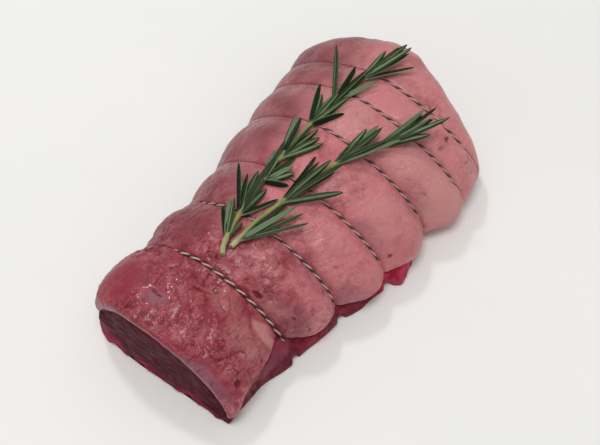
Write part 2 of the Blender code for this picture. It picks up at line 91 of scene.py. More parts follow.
# The bare foot of the lean: (place along X, half width on the floor).
FOOT_RIGHT = (
    (-0.1170, 0.0389), (-0.0944, 0.0400), (-0.0697, 0.0463), (-0.0425, 0.0510), (-0.0221, 0.0574),
    (-0.0068, 0.0608), (-0.0009, 0.0663), (0.0110, 0.0642), (0.0272, 0.0527), (0.0765, 0.0578),
)
FOOT_LEFT = ((-0.1170, 0.0450), (-0.0893, 0.0476), (-0.0374, 0.0425), (0.0255, 0.0485), (0.0765, 0.0510))


def mix(a, b, t):
    return a + (b - a) * t


def smooth(t):
    t = np.clip(t, 0.0, 1.0)
    return t * t * (3.0 - 2.0 * t)


def ramp(x, start, length):
    """0 up to start, rising softly to 1 over the length past it."""
    return smooth((x - start) / length)


def read_line(points, x):
    """A smooth line through (x, value) points, flat at each point."""
    for (xa, va), (xb, vb) in zip(points, points[1:]):
        if x < xb:
            return mix(va, vb, ramp(x, xa, xb - xa))
    return points[-1][1]


def swell(s):
    """How far a lobe has swollen at s: 0 at one loop, 1 at its middle, 0 at the next loop."""
    return math.sin(math.pi * max(0.0, min(1.0, s))) ** SWELL_POWER


def heel_fall(t, p, q):
    """The round fall from the last loop, t = 0, to the heel's tip, t = 1."""
    return max(0.0, 1.0 - t**p) ** q


def outline(x):
    """Half widths to the left and right, crown height and how swollen the meat is, at x."""
    ends = [(CUT_X, *CUT_SECTION), *LOOPS]
    for k in range(len(LOOPS)):
        a, b = ends[k], ends[k + 1]
        if x <= b[0]:
            start = a[0] if k == 0 else a[0] + GROOVE_HALF_WIDTH
            s = max(0.0, min(1.0, (x - start) / (b[0] - GROOVE_HALF_WIDTH - start)))
            tied = [mix(a[i], b[i], s) for i in (1, 2, 3)]
            middle = [mix(a[i], b[i], 0.5) for i in (1, 2, 3)]
            rise = swell(s)
            return [w + (full - m) * rise for w, full, m in zip(tied, LOBES[k], middle)] + [rise]
    t = max(0.0, min(1.0, (x - HEEL_START) / (HEEL_X - HEEL_START)))
    rise = swell(min(t / HEEL_SWOLLEN_AT, 0.5))
    left, right, top = (mix(w, full, rise) for w, full in zip(LOOPS[-1][1:], LOBES[-1]))
    left = HEEL_TIP_Y + (left - HEEL_TIP_Y) * heel_fall(t, *HEEL_FALL)
    right = -HEEL_TIP_Y + (right + HEEL_TIP_Y) * heel_fall(t, *HEEL_FALL_RIGHT)
    top = HEEL_TIP_Z + (top - HEEL_TIP_Z) * heel_fall(t, *HEEL_FALL)
    return [left, right, top, rise]


def cut_fade(x):
    """1 at the cut end, falling to 0 at the first loop."""
    return np.maximum(0.0, 1.0 - (x - CUT_X) / (LOOPS[0][0] - CUT_X))


print("lobe heights, mm:", [round(1000 * row[2], 1) for row in LOBES])

# %% [markdown]
# A slice through the joint is a dome on a rounded foot, fuller on one side than on the other. It could be
# drawn as a curve for every slice, but a formula bends smoothly from one slice to the next and needs no
# points. Whole rows of angles go through it at once as arrays, which keeps a fine mesh quick to make.

# %% The slice
# On each side of a slice: how high it is widest and how full its dome is, at the cut end and at the heel.
WIDEST_LEFT, WIDEST_RIGHT = (0.0204, 0.0106), (0.0102, 0.0153)
WIDEST_LEFT_HURRY, WIDEST_LIMIT = 1.8, 0.45
POWER_LEFT, POWER_RIGHT = (2.30, 1.55), (1.80, 1.50)
LOBE_FULLNESS, FOOT_POWER = 0.22, 3.2
CROWN_Y, CROWN_MARGIN = (0.0136, -0.0051), 0.2
HALF_AT_LEAST = 0.5 * MM


class Slice:
    """The skin's cross-section at x, drawn in by inset. Angle 0 is the left side, pi the right."""

    def __init__(self, x, inset=0.0):
        left, right, top, rise = outline(x)
        a = (x - CUT_X) / (HEEL_X - CUT_X)
        margin = CROWN_MARGIN * (left + right)
        tied = smooth(1.0 - cut_fade(x))
        full = LOBE_FULLNESS * rise
        limit = WIDEST_LIMIT * top
        low_left = min(mix(*WIDEST_LEFT, smooth(WIDEST_LEFT_HURRY * a)), limit)
        low_right = min(mix(*WIDEST_RIGHT, a), limit)
        self.x = x
        self.middle = max(margin - right, min(left - margin, mix(*CROWN_Y, a)))
        self.half = np.maximum((left - self.middle - inset, right + self.middle - inset), HALF_AT_LEAST)
        self.widest = np.array((low_left, low_right))
        self.dome = top - self.widest - inset
        self.power = np.array((mix(*POWER_LEFT, tied) + full * tied, mix(*POWER_RIGHT, a) + full))

    def points(self, angles):
        """Points of the outline at the angles, one row each."""
        c, s = np.cos(angles), np.sin(angles)
        side = (c < 0).astype(int)
        e = np.where(s >= 0, 2.0 / self.power[side], 2.0 / FOOT_POWER)
        low = self.widest[side]
        z = np.where(s >= 0, low + self.dome[side] * np.abs(s) ** e, low * (1.0 - np.abs(s) ** e))
        y = self.middle + np.sign(c) * np.abs(c) ** e * self.half[side]
        return np.stack([np.full_like(y, self.x), y, z], axis=-1)

    def angle_at(self, z, side):
        """The angle at which the outline is at height z, on side 0, the left, or 1, the right."""
        low, dome, power = self.widest[side], self.dome[side], self.power[side]
        if z > low:
            a = math.asin(min(1.0, ((z - low) / dome) ** (power / 2.0)))
        else:
            a = -math.asin((1.0 - z / low) ** (FOOT_POWER / 2.0))
        return math.pi - a if side else a


# %% [markdown]
# The fat hangs down both sides and ends above the floor, so that a strip of dark lean shows under it. Its
# edge follows heights given at a few places, with a little noise, because a knife never cuts quite straight.

# %% The cap's edges and thickness
# Heights at which the cap's hanging edges end: at the cut and behind it, with the length of the change, then
# at the heel, with (place along X, length). The right edge is lifted on the front lobe.
EDGE_LEFT, EDGE_LEFT_LENGTH = (0.0238, 0.0102), 0.085
EDGE_RIGHT, EDGE_RIGHT_LENGTH = (0.0085, 0.0119), 0.026
EDGE_LIFT, EDGE_LIFT_LENGTH, EDGE_LIFT_FALL = 0.0085, 0.011, (-0.082, 0.026)
EDGE_HEEL, EDGE_HEEL_LEFT, EDGE_HEEL_RIGHT = 0.0042, (0.051, 0.042), (0.002, 0.026)
EDGE_RAGGED, RAGGED_LENGTH, RAGGED_END = 1.3 * MM, 0.011, (0.070, 0.020)
RAGGED_ROWS = (3.0, 8.0)
SKIN_SAMPLES = 601
CAP_ON_LOBE, CAP_AT_LOOP, CAP_LIP = 3.8 * MM, 2.2 * MM, 2.1 * MM
CAP_EDGE_SHARE, CAP_EDGE_REACH = 0.6, 0.15
LIP_END, LIP_REACH = 0.25, 0.15
CAP_TO_LEAN = 0.5 * MM
CUT_LEAN, CUT_BOW, CUT_BOW_Y = 0.08, 3.5, 0.0128


def run_along(points):
    """How far along its line each point is, in metres."""
    return np.concatenate([[0.0], np.cumsum(np.linalg.norm(np.diff(points, axis=0), axis=1))])


def ragged(x, side):
    """The cap's hanging edge wanders up and down a little along the joint."""
    return EDGE_RAGGED * noise.noise(Vector((x / RAGGED_LENGTH, RAGGED_ROWS[side], 0.0)))


def cap_edges(x):
    """Heights at which the fat cap ends on the left and on the right."""
    left = mix(*EDGE_LEFT, ramp(x, CUT_X, EDGE_LEFT_LENGTH))
    left = mix(left, EDGE_HEEL, ramp(x, *EDGE_HEEL_LEFT))
    right = mix(*EDGE_RIGHT, ramp(x, CUT_X, EDGE_RIGHT_LENGTH))
    right += EDGE_LIFT * ramp(x, CUT_X, EDGE_LIFT_LENGTH) * (1.0 - ramp(x, *EDGE_LIFT_FALL))
    right = mix(right, EDGE_HEEL, ramp(x, *EDGE_HEEL_RIGHT))
    fade = 1.0 - ramp(x, *RAGGED_END)
    return left + ragged(x, 0) * fade, right + ragged(x, 1) * fade


def cap_angles(x, steps):
    """Angles across the cap, from its left edge over the crown to the right, evenly spaced on the skin."""
    skin = Slice(x)
    z_left, z_right = cap_edges(x)
    fine = np.linspace(skin.angle_at(z_left, 0), skin.angle_at(z_right, 1), SKIN_SAMPLES)
    run = run_along(skin.points(fine))
    return np.interp(np.linspace(0.0, run[-1], steps + 1), run, fine)


def cap_thickness(x, steps):
    """Thickness across the cap: less under the twine and at its edges, more at the left lip of the cut."""
    across = np.linspace(0.0, 1.0, steps + 1)
    edge = np.minimum(across, 1.0 - across)
    base = mix(CAP_AT_LOOP, CAP_ON_LOBE, max(outline(x)[3], float(cut_fade(x))))
    lip = CAP_LIP * cut_fade(x) * smooth((LIP_END - across) / LIP_REACH)
    return base * mix(CAP_EDGE_SHARE, 1.0, smooth(edge / CAP_EDGE_REACH)) + lip


def lean_back(p):
    """The slope and bow of the cut end, fading out towards the first loop."""
    bow = CUT_BOW * np.maximum(0.0, p[..., 1] - CUT_BOW_Y) ** 2
    p[..., 0] += cut_fade(p[..., 0]) * (CUT_LEAN * p[..., 2] + bow)
    return p


middle_slice = Slice(0.0).points(np.linspace(0.0, math.pi, 5))
print("slice at the middle, mm:", (1000 * middle_slice[:, 1:]).round(1).tolist())

# %% [markdown]
# Slices stand closest where there is most to see: on the craggy front lobes and at each loop, where the skin
# dives under the twine. Spacing them evenly would waste most of the triangles on the smooth heel.

# %% Where the slices stand
CAP_STEPS = 200
UNDER_STEPS = 40
LOBE_CUTS = (84, 54, 36, 34, 24, 18)
HEEL_CUTS = 36
GROOVE_CUTS = 10
# How strongly the slices crowd towards the loops, and how near the tip of the heel the last one stands.
CROWDING = 0.6
HEEL_END_SHARE = 0.9999


def slices():
    """Places of the slices along X, closer together near each loop."""
    places = []
    start = CUT_X
    for row, cuts in zip(LOOPS, LOBE_CUTS):
        stop = row[0] - GROOVE_HALF_WIDTH
        for k in range(cuts):
            t = k / cuts
            places.append(mix(start, stop, mix(t, 0.5 - 0.5 * math.cos(math.pi * t), CROWDING)))
        start = row[0] + GROOVE_HALF_WIDTH
        places += [mix(stop, start, k / GROOVE_CUTS) for k in range(GROOVE_CUTS)]
    places += [mix(start, HEEL_X, math.sin(0.5 * math.pi * k / HEEL_CUTS)) for k in range(HEEL_CUTS)]
    return places + [mix(start, HEEL_X, HEEL_END_SHARE)]


PLACES = slices()
print("slices:", len(PLACES))

# %% [markdown]
# Beef fat isn't smooth. It is curdled into soft lumps a few millimetres across, with winding creases where
# the red shows through, and the twine gathers it into short pleats. The creases, pits and pleats are also
# painted darker as painted shade. Where a slow noise crosses zero it draws a winding line, so a narrow band
# about zero makes a likely crease, and a second noise breaks it up.
# This relief moves the real surface, because a bump in the shader alone leaves the outline as smooth as
# plastic. Beside each loop the skin stands up against the twine, and in places it closes over it.

# %% Noise on the skin


def each_point(points, measure):
    """measure of each point of a grid, as an array of the grid's shape."""
    return np.array([measure(Vector(p)) for p in points.reshape(-1, 3)]).reshape(points.shape[:-1])


def shift_of(seed):
    """A step to another part of the noise, so that no two patterns with their own seeds look alike."""
    return Vector((7.31 * seed, -3.7 * seed, 1.9 * seed))


def field(points, size, seed):
    """Soft noise of about that size at each point, from about -1 to 1."""
    return each_point(points, lambda p: noise.noise(p / size + shift_of(seed)))


def lumps(points, size, seed):
    """Noise with finer noise on it, four times over, from about -1 to 1."""
    return each_point(points, lambda p: noise.fractal(p / size + shift_of(seed), 0.75, 2.1, 4))


def bent(points, size, by):
    """The points pushed about by a slow noise."""
    drift = [noise.noise_vector(Vector(p) / size) for p in points.reshape(-1, 3)]
    return points + by * np.array(drift).reshape(points.shape)


CREASE_KEPT, CREASE_CONTRAST = 0.55, 2.0


def creases(points, size, width, seed):
    """1 along winding lines, 0 a little way off them, broken up so that none runs on for long."""
    line = 1.0 - smooth(np.abs(field(points, size, seed)) / width)
    return line * smooth(CREASE_KEPT + CREASE_CONTRAST * field(points, 0.8 * size, seed + 50))


PATCH_CORE, PATCH_FADE = 0.55, 0.75


def patch(points, middle, along, across):
    """1 in the middle of a patch on the skin, falling to 0 at its edge."""
    d = points - np.array(middle)
    far = np.sqrt((d[..., 0] / along) ** 2 + (d[..., 1] ** 2 + d[..., 2] ** 2) / across**2)
    return 1.0 - ramp(far, PATCH_CORE, PATCH_FADE)


def spots(points, rows):
    """The patches of a table added up, each row with its middle, two radii and how much."""
    return sum(much * patch(points, middle, along, across) for middle, along, across, much in rows)


print("patch at its middle:", float(patch(np.zeros(3), (0.0, 0.0, 0.0), MM, MM)))

# %% Relief of the fat
# Size of each kind of relief, how it is bent as (size, by how much), and how far it moves the skin, in MM.
LUMP_SIZE, CREASE_SIZE, WRINKLE_SIZE = 6.5 * MM, 6.0 * MM, 3.0 * MM
LUMP_BEND, CREASE_BEND = (0.011, 0.0030), (0.009, 0.0034)
WRINKLE_BEND, PIT_BEND = (0.005, 0.0020), (0.003, 0.0007)
LUMP_HIGH, CREASE_DEEP, WRINKLE_DEEP = 1.00, 0.50, 0.30
CREASE_WIDTH, WRINKLE_WIDTH = 0.15, 0.24
CREASE_DARK, WRINKLE_DARK = 0.66, 0.34
LUMPS_PULLED = np.array((0.78, 1.0, 1.0))
WAVE_HIGH, WAVE_SIZE = 0.90 * MM, 0.015
# The twine gathers the fat into pleats that run along the joint and fade out behind it.
PLEAT_DEEP, PLEAT_SIZE, PLEAT_WIDTH, PLEATS_PULLED = 1.5 * MM, 0.0046, 0.26, np.array((0.16, 1.0, 1.0))
PLEAT_REACH, CALM_REACH = 4.0 * MM, 3.0 * MM
# (place along X, how craggy the fat is there).
CRAGGY = ((CUT_X, 0.90), (-0.100, 0.95), (-0.0720, 0.82), (-0.060, 0.62), (-0.0374, 0.48), (-0.022, 0.34),
          (0.0, 0.30), (0.035, 0.28), (HEEL_X, 0.30))
CRAG_DRIFT, CRAG_DRIFT_SIZE, CRAG_IN_BLUSH, SMOOTHED = 0.6, 0.020, 0.5, 0.85
# Smooth places in the fat, such as a stretched membrane: middle, radius along the joint, radius across it.
SMOOTH_PATCHES = (
    ((-0.099, 0.040, 0.040), 0.016, 0.017),
    ((-0.099, 0.0165, 0.045), 0.0055, 0.0085),
    ((-0.0765, -0.032, 0.027), 0.0062, 0.011),
    ((-0.1115, -0.030, 0.029), 0.0040, 0.013),
)
# Redder, lumpier places: middle, radius along the joint, radius across it, how much.
BLUSH_SPOTS = (
    ((0.0075, -0.026, 0.0485), 0.012, 0.011, 0.26),
    ((0.0040, -0.055, 0.030), 0.009, 0.010, 0.14),
    ((0.0350, -0.0505, 0.0355), 0.0035, 0.009, 0.55),
    ((0.0670, -0.058, 0.030), 0.007, 0.009, 0.50),
    ((0.0625, -0.045, 0.041), 0.007, 0.007, 0.40),
    ((0.0247, 0.0027, 0.0516), 0.005, 0.005, 0.30),
    ((0.0776, 0.0228, 0.0438), 0.011, 0.013, 0.35),
    ((0.0766, -0.028, 0.0437), 0.007, 0.012, 0.30),
    ((-0.0250, -0.0512, 0.0285), 0.011, 0.011, 0.16),
    ((-0.0560, 0.028, 0.044), 0.012, 0.014, 0.45),
    ((-0.0236, 0.0374, 0.037), 0.012, 0.012, 0.40),
)
# Pits and slits: middle, radius along the joint, radius across it, depth.
PITS = (
    ((-0.0990, 0.0165, 0.0450), 0.0005, 0.0042, 0.0005),
    ((-0.0618, -0.0396, 0.0257), 0.0006, 0.0011, 0.0012),
    ((-0.1070, -0.0370, 0.0250), 0.0015, 0.0021, 0.0017),
    ((-0.0660, -0.0205, 0.0362), 0.0012, 0.0030, 0.0014),
    ((-0.1065, -0.0310, 0.0300), 0.0009, 0.0016, 0.0010),
    ((-0.0700, 0.0120, 0.0420), 0.0010, 0.0036, 0.0012),
    ((0.0010, -0.0575, 0.0218), 0.0075, 0.0010, 0.0012),
    ((0.0300, -0.0300, 0.0470), 0.0006, 0.0012, 0.0007),
    ((-0.0231, -0.0325, 0.0428), 0.0004, 0.0004, 0.0004),
    ((0.0645, -0.0480, 0.0385), 0.0075, 0.0009, 0.0006),
)


def to_loop(x):
    """Distance along the joint from the nearest loop."""
    return np.min([np.abs(x - row[0]) for row in LOOPS], axis=0)


def cragginess(p):
    """How craggy the fat is at each point, from 0 to about 1.5."""
    crag = np.interp(p[..., 0], *zip(*CRAGGY)) * (1.0 + CRAG_DRIFT * field(p, CRAG_DRIFT_SIZE, 1))
    for middle, along, across in SMOOTH_PATCHES:
        crag = crag * (1.0 - SMOOTHED * patch(p, middle, along, across))
    for middle, along, across, much in BLUSH_SPOTS:
        crag = crag + CRAG_IN_BLUSH * much * patch(p, middle, along, across)
    return crag


def fat_relief(p):
    """How far the fat stands off the smooth skin, and how deep in a crease each point is, from 0 to 1."""
    crag = cragginess(p)
    pulled = p * LUMPS_PULLED
    curds = lumps(bent(pulled, *LUMP_BEND), LUMP_SIZE, 1)
    deep = creases(bent(pulled, *CREASE_BEND), CREASE_SIZE, CREASE_WIDTH, 2)
    shallow = creases(bent(pulled, *WRINKLE_BEND), WRINKLE_SIZE, WRINKLE_WIDTH, 3)
    away = to_loop(p[..., 0])
    off_loop = ramp(away, GROOVE_HALF_WIDTH, CALM_REACH)
    pleat = np.maximum(0.0, PLEAT_WIDTH - np.abs(field(p * PLEATS_PULLED, PLEAT_SIZE, 5)))
    gathered = np.exp(-np.maximum(0.0, away - GROOVE_HALF_WIDTH) / PLEAT_REACH)
    high = WAVE_HIGH * field(p, WAVE_SIZE, 4) * off_loop
    high += MM * crag * off_loop * (LUMP_HIGH * curds - CREASE_DEEP * deep - WRINKLE_DEEP * shallow)
    high -= PLEAT_DEEP * gathered * off_loop * pleat
    # How deep in a crease, pit or pleat each point is. The finish paints it dark crimson: partly the red
    # showing through, partly painted shade.
    between_lumps = np.maximum(0.0, -0.6 * curds - 0.15)
    hollow = crag * (CREASE_DARK * deep + WRINKLE_DARK * shallow + between_lumps) + gathered * pleat
    frayed = bent(p, *PIT_BEND)
    for middle, along, across, depth in PITS:
        hole = patch(frayed, middle, along, across)
        high -= depth * hole
        hollow += hole
    return high, np.clip(hollow, 0.0, 1.0)


# %% [markdown]
# Soft fat bulges up on both sides of a taut twine. On the crown it leaves the twine in sight, and down the
# flanks the two bulges meet over it and only a crease is left. The fold is made by moving the skin up and
# over, because a height alone can't hang over anything.

# %% The folds beside the twine
# Each loop of twine is seen between these two places across the joint, and lies in a closed crease beyond.
TWINE_SEEN = (
    (-0.033, 0.020), (-0.045, 0.030), (-0.051, 0.010), (-0.053, 0.008), (-0.060, 0.010), (-0.052, 0.002),
)
# Off the loop's middle: where the fold starts, the width of its rise, its top and how far it reaches.
FOLD_FROM, FOLD_RISE, FOLD_TOP, FOLD_REACH = 0.6 * MM, 0.7 * MM, 1.3 * MM, 2.8 * MM
# How high it stands and how far it leans over: at the front loop, at those behind, and where it is closed.
FOLD_UP, FOLD_OVER = (1.1 * MM, 1.5 * MM, 2.5 * MM), (0.3 * MM, 0.5 * MM, 1.2 * MM)
CLOSING_LEFT, CLOSING_RIGHT = 7.0 * MM, 6.0 * MM
CLOSING_WANDER, CLOSING_WANDER_SIZE = 3.0 * MM, 0.009
BEHIND_FRONT = (-0.075, 0.030)


def fold_over(p):
    """How far the skin stands up beside the twine, and how far it leans over it along the joint."""
    up, over = np.zeros(p.shape[:-1]), np.zeros(p.shape[:-1])
    for row, (right, left) in zip(LOOPS, TWINE_SEEN):
        d = np.abs(p[..., 0] - row[0])
        beside = ramp(d, FOLD_FROM, FOLD_RISE) * np.exp(-np.maximum(0.0, d - FOLD_TOP) / FOLD_REACH)
        y = p[..., 1] + CLOSING_WANDER * field(p, CLOSING_WANDER_SIZE, 60)
        closed = np.maximum(ramp(y, left, CLOSING_LEFT), ramp(right, y, CLOSING_RIGHT))
        behind = ramp(row[0], *BEHIND_FRONT)
        amounts = (FOLD_UP, FOLD_OVER)
        stands, leans = (mix(mix(front, back, behind), shut, closed) for front, back, shut in amounts)
        up += beside * stands
        over -= np.sign(p[..., 0] - row[0]) * beside * leans
    return up, over


print("folds, highest and furthest over, mm:", [round(1000 * max(row), 1) for row in (FOLD_UP, FOLD_OVER)])

# %% [markdown]
# The cap is a shell about 4 mm thick, open below and at the cut. Its fine outer skin carries the relief. Its
# inner face lies on the lean and never shows, so it has a quarter of the points. Round lips join the two
# along the sides, and at the cut end a band shows the thickness of the fat.

# %% Helpers for rows of vertices


def add_row(bm, points, values=None, layers=()):
    """One row of vertices, with the values of each kept in the layers."""
    row = [bm.verts.new(p) for p in points]
    for layer, numbers in zip(layers, values or ()):
        for v, number in zip(row, numbers):
            v[layer] = number
    return row


def join_rows(bm, a, b, closed=False):
    """Quads between two rows of equal count."""
    n = len(a)
    for j in range(n if closed else n - 1):
        k = (j + 1) % n
        bm.faces.new((a[j], a[k], b[k], b[j]))


def run_of(row):
    """How far along a row each vertex is, from 0 to 1."""
    steps = [(q.co - p.co).length for p, q in zip(row, row[1:])]
    run = np.concatenate([[0.0], np.cumsum(steps)])
    return run / run[-1]


def zip_rows(bm, a, b):
    """Triangles between two rows of different counts."""
    along_a, along_b = run_of(a), run_of(b)
    i = j = 0
    while i < len(a) - 1 or j < len(b) - 1:
        if j == len(b) - 1 or (i < len(a) - 1 and along_a[i + 1] <= along_b[j + 1]):
            bm.faces.new((a[i], a[i + 1], b[j]))
            i += 1
        else:
            bm.faces.new((a[i], b[j + 1], b[j]))
            j += 1


def close_ring(bm, ring):
    """Closes a ring of vertices with triangles about its middle."""
    middle = bm.verts.new(sum((v.co for v in ring), Vector()) / len(ring))
    for p, q in zip(ring, ring[1:] + ring[:1]):
        bm.faces.new((p, q, middle))


def new_object(name, data):
    """An object for a mesh, lamp or camera, at the origin of the scene."""
    made = bpy.data.objects.new(name, data)
    bpy.context.scene.collection.objects.link(made)
    return made


def object_from(name, bm):
    """An object of the mesh being worked on, which is closed."""
    mesh = bpy.data.meshes.new(name)
    bm.to_mesh(mesh)
    bm.free()
    return new_object(name, mesh)


def say_triangles(piece):
    print(piece.name, "has", sum(len(p.vertices) - 2 for p in piece.data.polygons), "triangles")


def finish_mesh(name, bm, sharp=60.0):
    """The finished mesh as an object, with its faces turned outwards."""
    bmesh.ops.recalc_face_normals(bm, faces=bm.faces)
    piece = object_from(name, bm)
    piece.data.shade_smooth()
    piece.data.set_sharp_from_angle(angle=math.radians(sharp))
    say_triangles(piece)
    return piece


def shorten(x, by):
    """x moved in from the heel, for what lies inside the cap."""
    if x <= HEEL_START:
        return x
    return HEEL_START + (x - HEEL_START) * (HEEL_X - by - HEEL_START) / (HEEL_X - HEEL_START)


INSIDE_POINT = np.array((0.0, 0.0, 0.012))


def row_normals(p):
    """Outward directions of a grid of points, and the same within each slice."""
    along, across = np.gradient(p, axis=0), np.gradient(p, axis=1)
    whole = np.cross(across, along)
    flat = np.cross(across, np.array((1.0, 0.0, 0.0)))
    outward = p - INSIDE_POINT
    result = []
    for n in (whole, flat):
        n = n / np.maximum(np.linalg.norm(n, axis=-1, keepdims=True), 1e-12)
        facing = np.sign(np.sum(n[..., 1:] * outward[..., 1:], axis=-1, keepdims=True).sum())
        result.append(n * facing)
    return result


# %% [markdown]
# The skin is a grid: one row of points for each slice. Relief moves its points along their outward
# directions. At the cut end they move only within their slice, so that the rim stays in the cut's plane.

# %% The skin with its relief
LIP_TURNS, LIP_ROUND = (0.22, 0.5, 0.78), 0.45
RIM_LENGTH = 5.0 * MM
EDGE_CALM, EDGE_CALM_REACH = 0.35, 0.03
BAND_TURNS, BAND_BOW = (0.12, 0.3, 0.5, 0.7, 0.88), 0.55 * MM
BAND_UNEVEN, BAND_UNEVEN_SIZE = 0.8, 0.004


def skin_grid():
    """The skin with its relief, the inner face and how hollow each point of the skin is."""
    skin = np.stack([Slice(x).points(cap_angles(x, CAP_STEPS)) for x in PLACES])
    whole, flat = row_normals(skin)
    thick = np.stack([cap_thickness(x, CAP_STEPS) for x in PLACES])
    inner = skin - flat * thick[..., None]
    inner[..., 0] = np.array([shorten(x, CAP_ON_LOBE) for x in PLACES])[:, None]
    near_cut = ramp(skin[..., 0], CUT_X, RIM_LENGTH)[..., None]
    out = flat * (1.0 - near_cut) + whole * near_cut
    high, hollow = fat_relief(skin)
    edge = np.minimum(np.linspace(0, 1, CAP_STEPS + 1), np.linspace(1, 0, CAP_STEPS + 1))
    high *= mix(EDGE_CALM, 1.0, smooth(edge / EDGE_CALM_REACH))
    high[-1] = 0.0
    up, over = fold_over(skin)
    relieved = skin + out * high[..., None] + flat * up[..., None]
    relieved[..., 0] += over
    return lean_back(relieved), lean_back(inner), hollow


def lip(skin, inner, side):
    """Points of the rounded edge between the skin and the inner face, at one end of each row."""
    j, before = (0, 1) if side == 0 else (-1, -2)
    past = skin[:, j] - skin[:, before]
    past /= np.maximum(np.linalg.norm(past, axis=1, keepdims=True), 1e-12)
    wide = np.linalg.norm(inner[:, j] - skin[:, j], axis=1, keepdims=True)
    rows = []
    for t in LIP_TURNS:
        rows.append(mix(skin[:, j], inner[:, j], t) + past * wide * LIP_ROUND * math.sin(math.pi * t))
    return np.stack(rows, axis=1)


def make_cap():
    """The fat cap as one closed shell."""
    skin, inner, hollow = skin_grid()
    few = np.linspace(0, CAP_STEPS, UNDER_STEPS + 1).astype(int)
    left, right = lip(skin, inner, 0), lip(skin, inner, 1)
    bm = bmesh.new()
    layers = (bm.verts.layers.float.new("hollow"), bm.verts.layers.float.new("inside"))
    turns, under_count = len(LIP_TURNS), len(few)
    inside = np.concatenate([np.zeros(CAP_STEPS + 1), LIP_TURNS, np.ones(under_count), LIP_TURNS[::-1]])
    rings = []
    for i in range(len(PLACES)):
        points = np.concatenate([skin[i], right[i], inner[i][few][::-1], left[i][::-1]])
        hollows = np.concatenate([hollow[i], np.full(2 * turns + under_count, 0.5)])
        rings.append(add_row(bm, points, (hollows, inside), layers))
    for a, b in zip(rings, rings[1:]):
        join_rows(bm, a, b, closed=True)
    cut_band(bm, rings[0], skin[0], inner[0], layers)
    close_ring(bm, rings[-1])
    return finish_mesh("fat_cap_skin", bm)


def cut_band(bm, ring, skin, inner, layers):
    """The cut edge of the fat: rows from the skin's rim down to the inner face, bowed out a little."""
    turns, last = len(LIP_TURNS), CAP_STEPS
    rows = [ring[:last + 1]]
    for t in BAND_TURNS:
        points = mix(skin, inner, t)
        uneven = 1.0 + BAND_UNEVEN * field(points, BAND_UNEVEN_SIZE, 8)
        points[:, 0] -= BAND_BOW * math.sin(math.pi * t) * uneven
        values = (np.full(last + 1, 0.2), np.full(last + 1, t))
        rows.append(add_row(bm, points, values, layers))
        join_rows(bm, rows[-2], rows[-1])
    under = ring[last + 1 + turns:len(ring) - turns]
    zip_rows(bm, rows[-1], under[::-1])
    bm.faces.new(ring[:1] + ring[:-turns - 1:-1] + under[-1:] + [row[0] for row in rows[:0:-1]])
    bm.faces.new(ring[last:last + turns + 1] + under[:1] + [row[-1] for row in rows[:0:-1]])


cap = make_cap()

# %% [markdown]
# The lean is one muscle. Its top is hidden by the fat, so it is coarse there. What shows is the cut face,
# where the muscle's fibres run across as long fine strands, and the bare foot down both sides. The cut face
# is a grid between its upper and its lower edge, so that the strands can follow its curve.

# %% The lean
FOOT_TURNS, FOOT_ROUND = 12, 0.8
UNDERSIDE_STEPS = 6
SHOULDER_DROP = 0.8 * MM
HEEL_SHARE_LENGTH = 0.010
FACE_ROWS = 46
# Strands, as (length, width): wide ones, and fine ones between them.
WIDE_STRAND, FINE_STRAND = (0.030, 0.0022), (0.016, 0.0009)
# The cut face: its height, the slant of its strands and how far they stand out, and its slow waves.
FACE_HEIGHT, STRAND_SLANT, STRAND_HIGH = 0.036, 0.10, 0.5 * MM
FACE_WAVE, FACE_WAVE_SIZE = 0.8 * MM, 0.013
# The ragged lower part of the cut face: (share of the depth, length), its tatters and shreds, and its rim.
RAGGED_FROM, RIM_FROM, RIM_IN = (0.72, 0.28), (0.93, 0.07), 0.9 * MM
TATTERS, TATTER_SIZE, SHREDS, SHRED_SIZE = 1.5 * MM, 0.0058, 0.7 * MM, 0.0026
TATTERS_PULLED = np.array((1.0, 1.0, 0.3))
UPPER_EDGE_CALM = 0.04
# The bare foot: waves, lumps, folds and strands, each with its size.
FOOT_WAVE, FOOT_WAVE_SIZE, FOOT_LUMP, FOOT_LUMP_SIZE = 1.3 * MM, 0.008, 0.6 * MM, 0.0032
FOOT_FOLD, FOOT_FOLD_SIZE, FOOT_FOLD_WIDTH, FOOT_STRAND = 1.3 * MM, 0.0065, 0.20, 0.3 * MM
FOOT_CALM_POINTS, FOOT_CALM_HEIGHT = 4.0, 3.0 * MM
MERGE_WITHIN = 0.005 * MM
# Dents in the cut face: across, height, radius, depth.
FACE_DENTS = (
    (0.0350, 0.0315, 0.0024, 0.0040),
    (-0.0060, 0.0190, 0.0050, 0.0008),
    (0.0290, 0.0130, 0.0060, 0.0010),
)


def groove(x):
    """1 in a twine groove and 0 a little way off it."""
    return 1.0 - smooth((to_loop(x) - GROOVE_HALF_WIDTH) / GROOVE_SLOPE)


def foot_curve(start, shoulder, foot, floor):
    """The foot of the lean on one side: from under the cap's edge, rounding out and down to the floor."""
    a = np.linspace(0.0, 0.5 * math.pi, FOOT_TURNS + 1)
    y = mix(start[1], foot, np.sin(a) ** FOOT_ROUND)
    z = mix(floor, shoulder, np.maximum(0.0, np.cos(a)) ** FOOT_ROUND)
    return np.stack([np.full_like(y, start[0]), y, z], axis=-1)


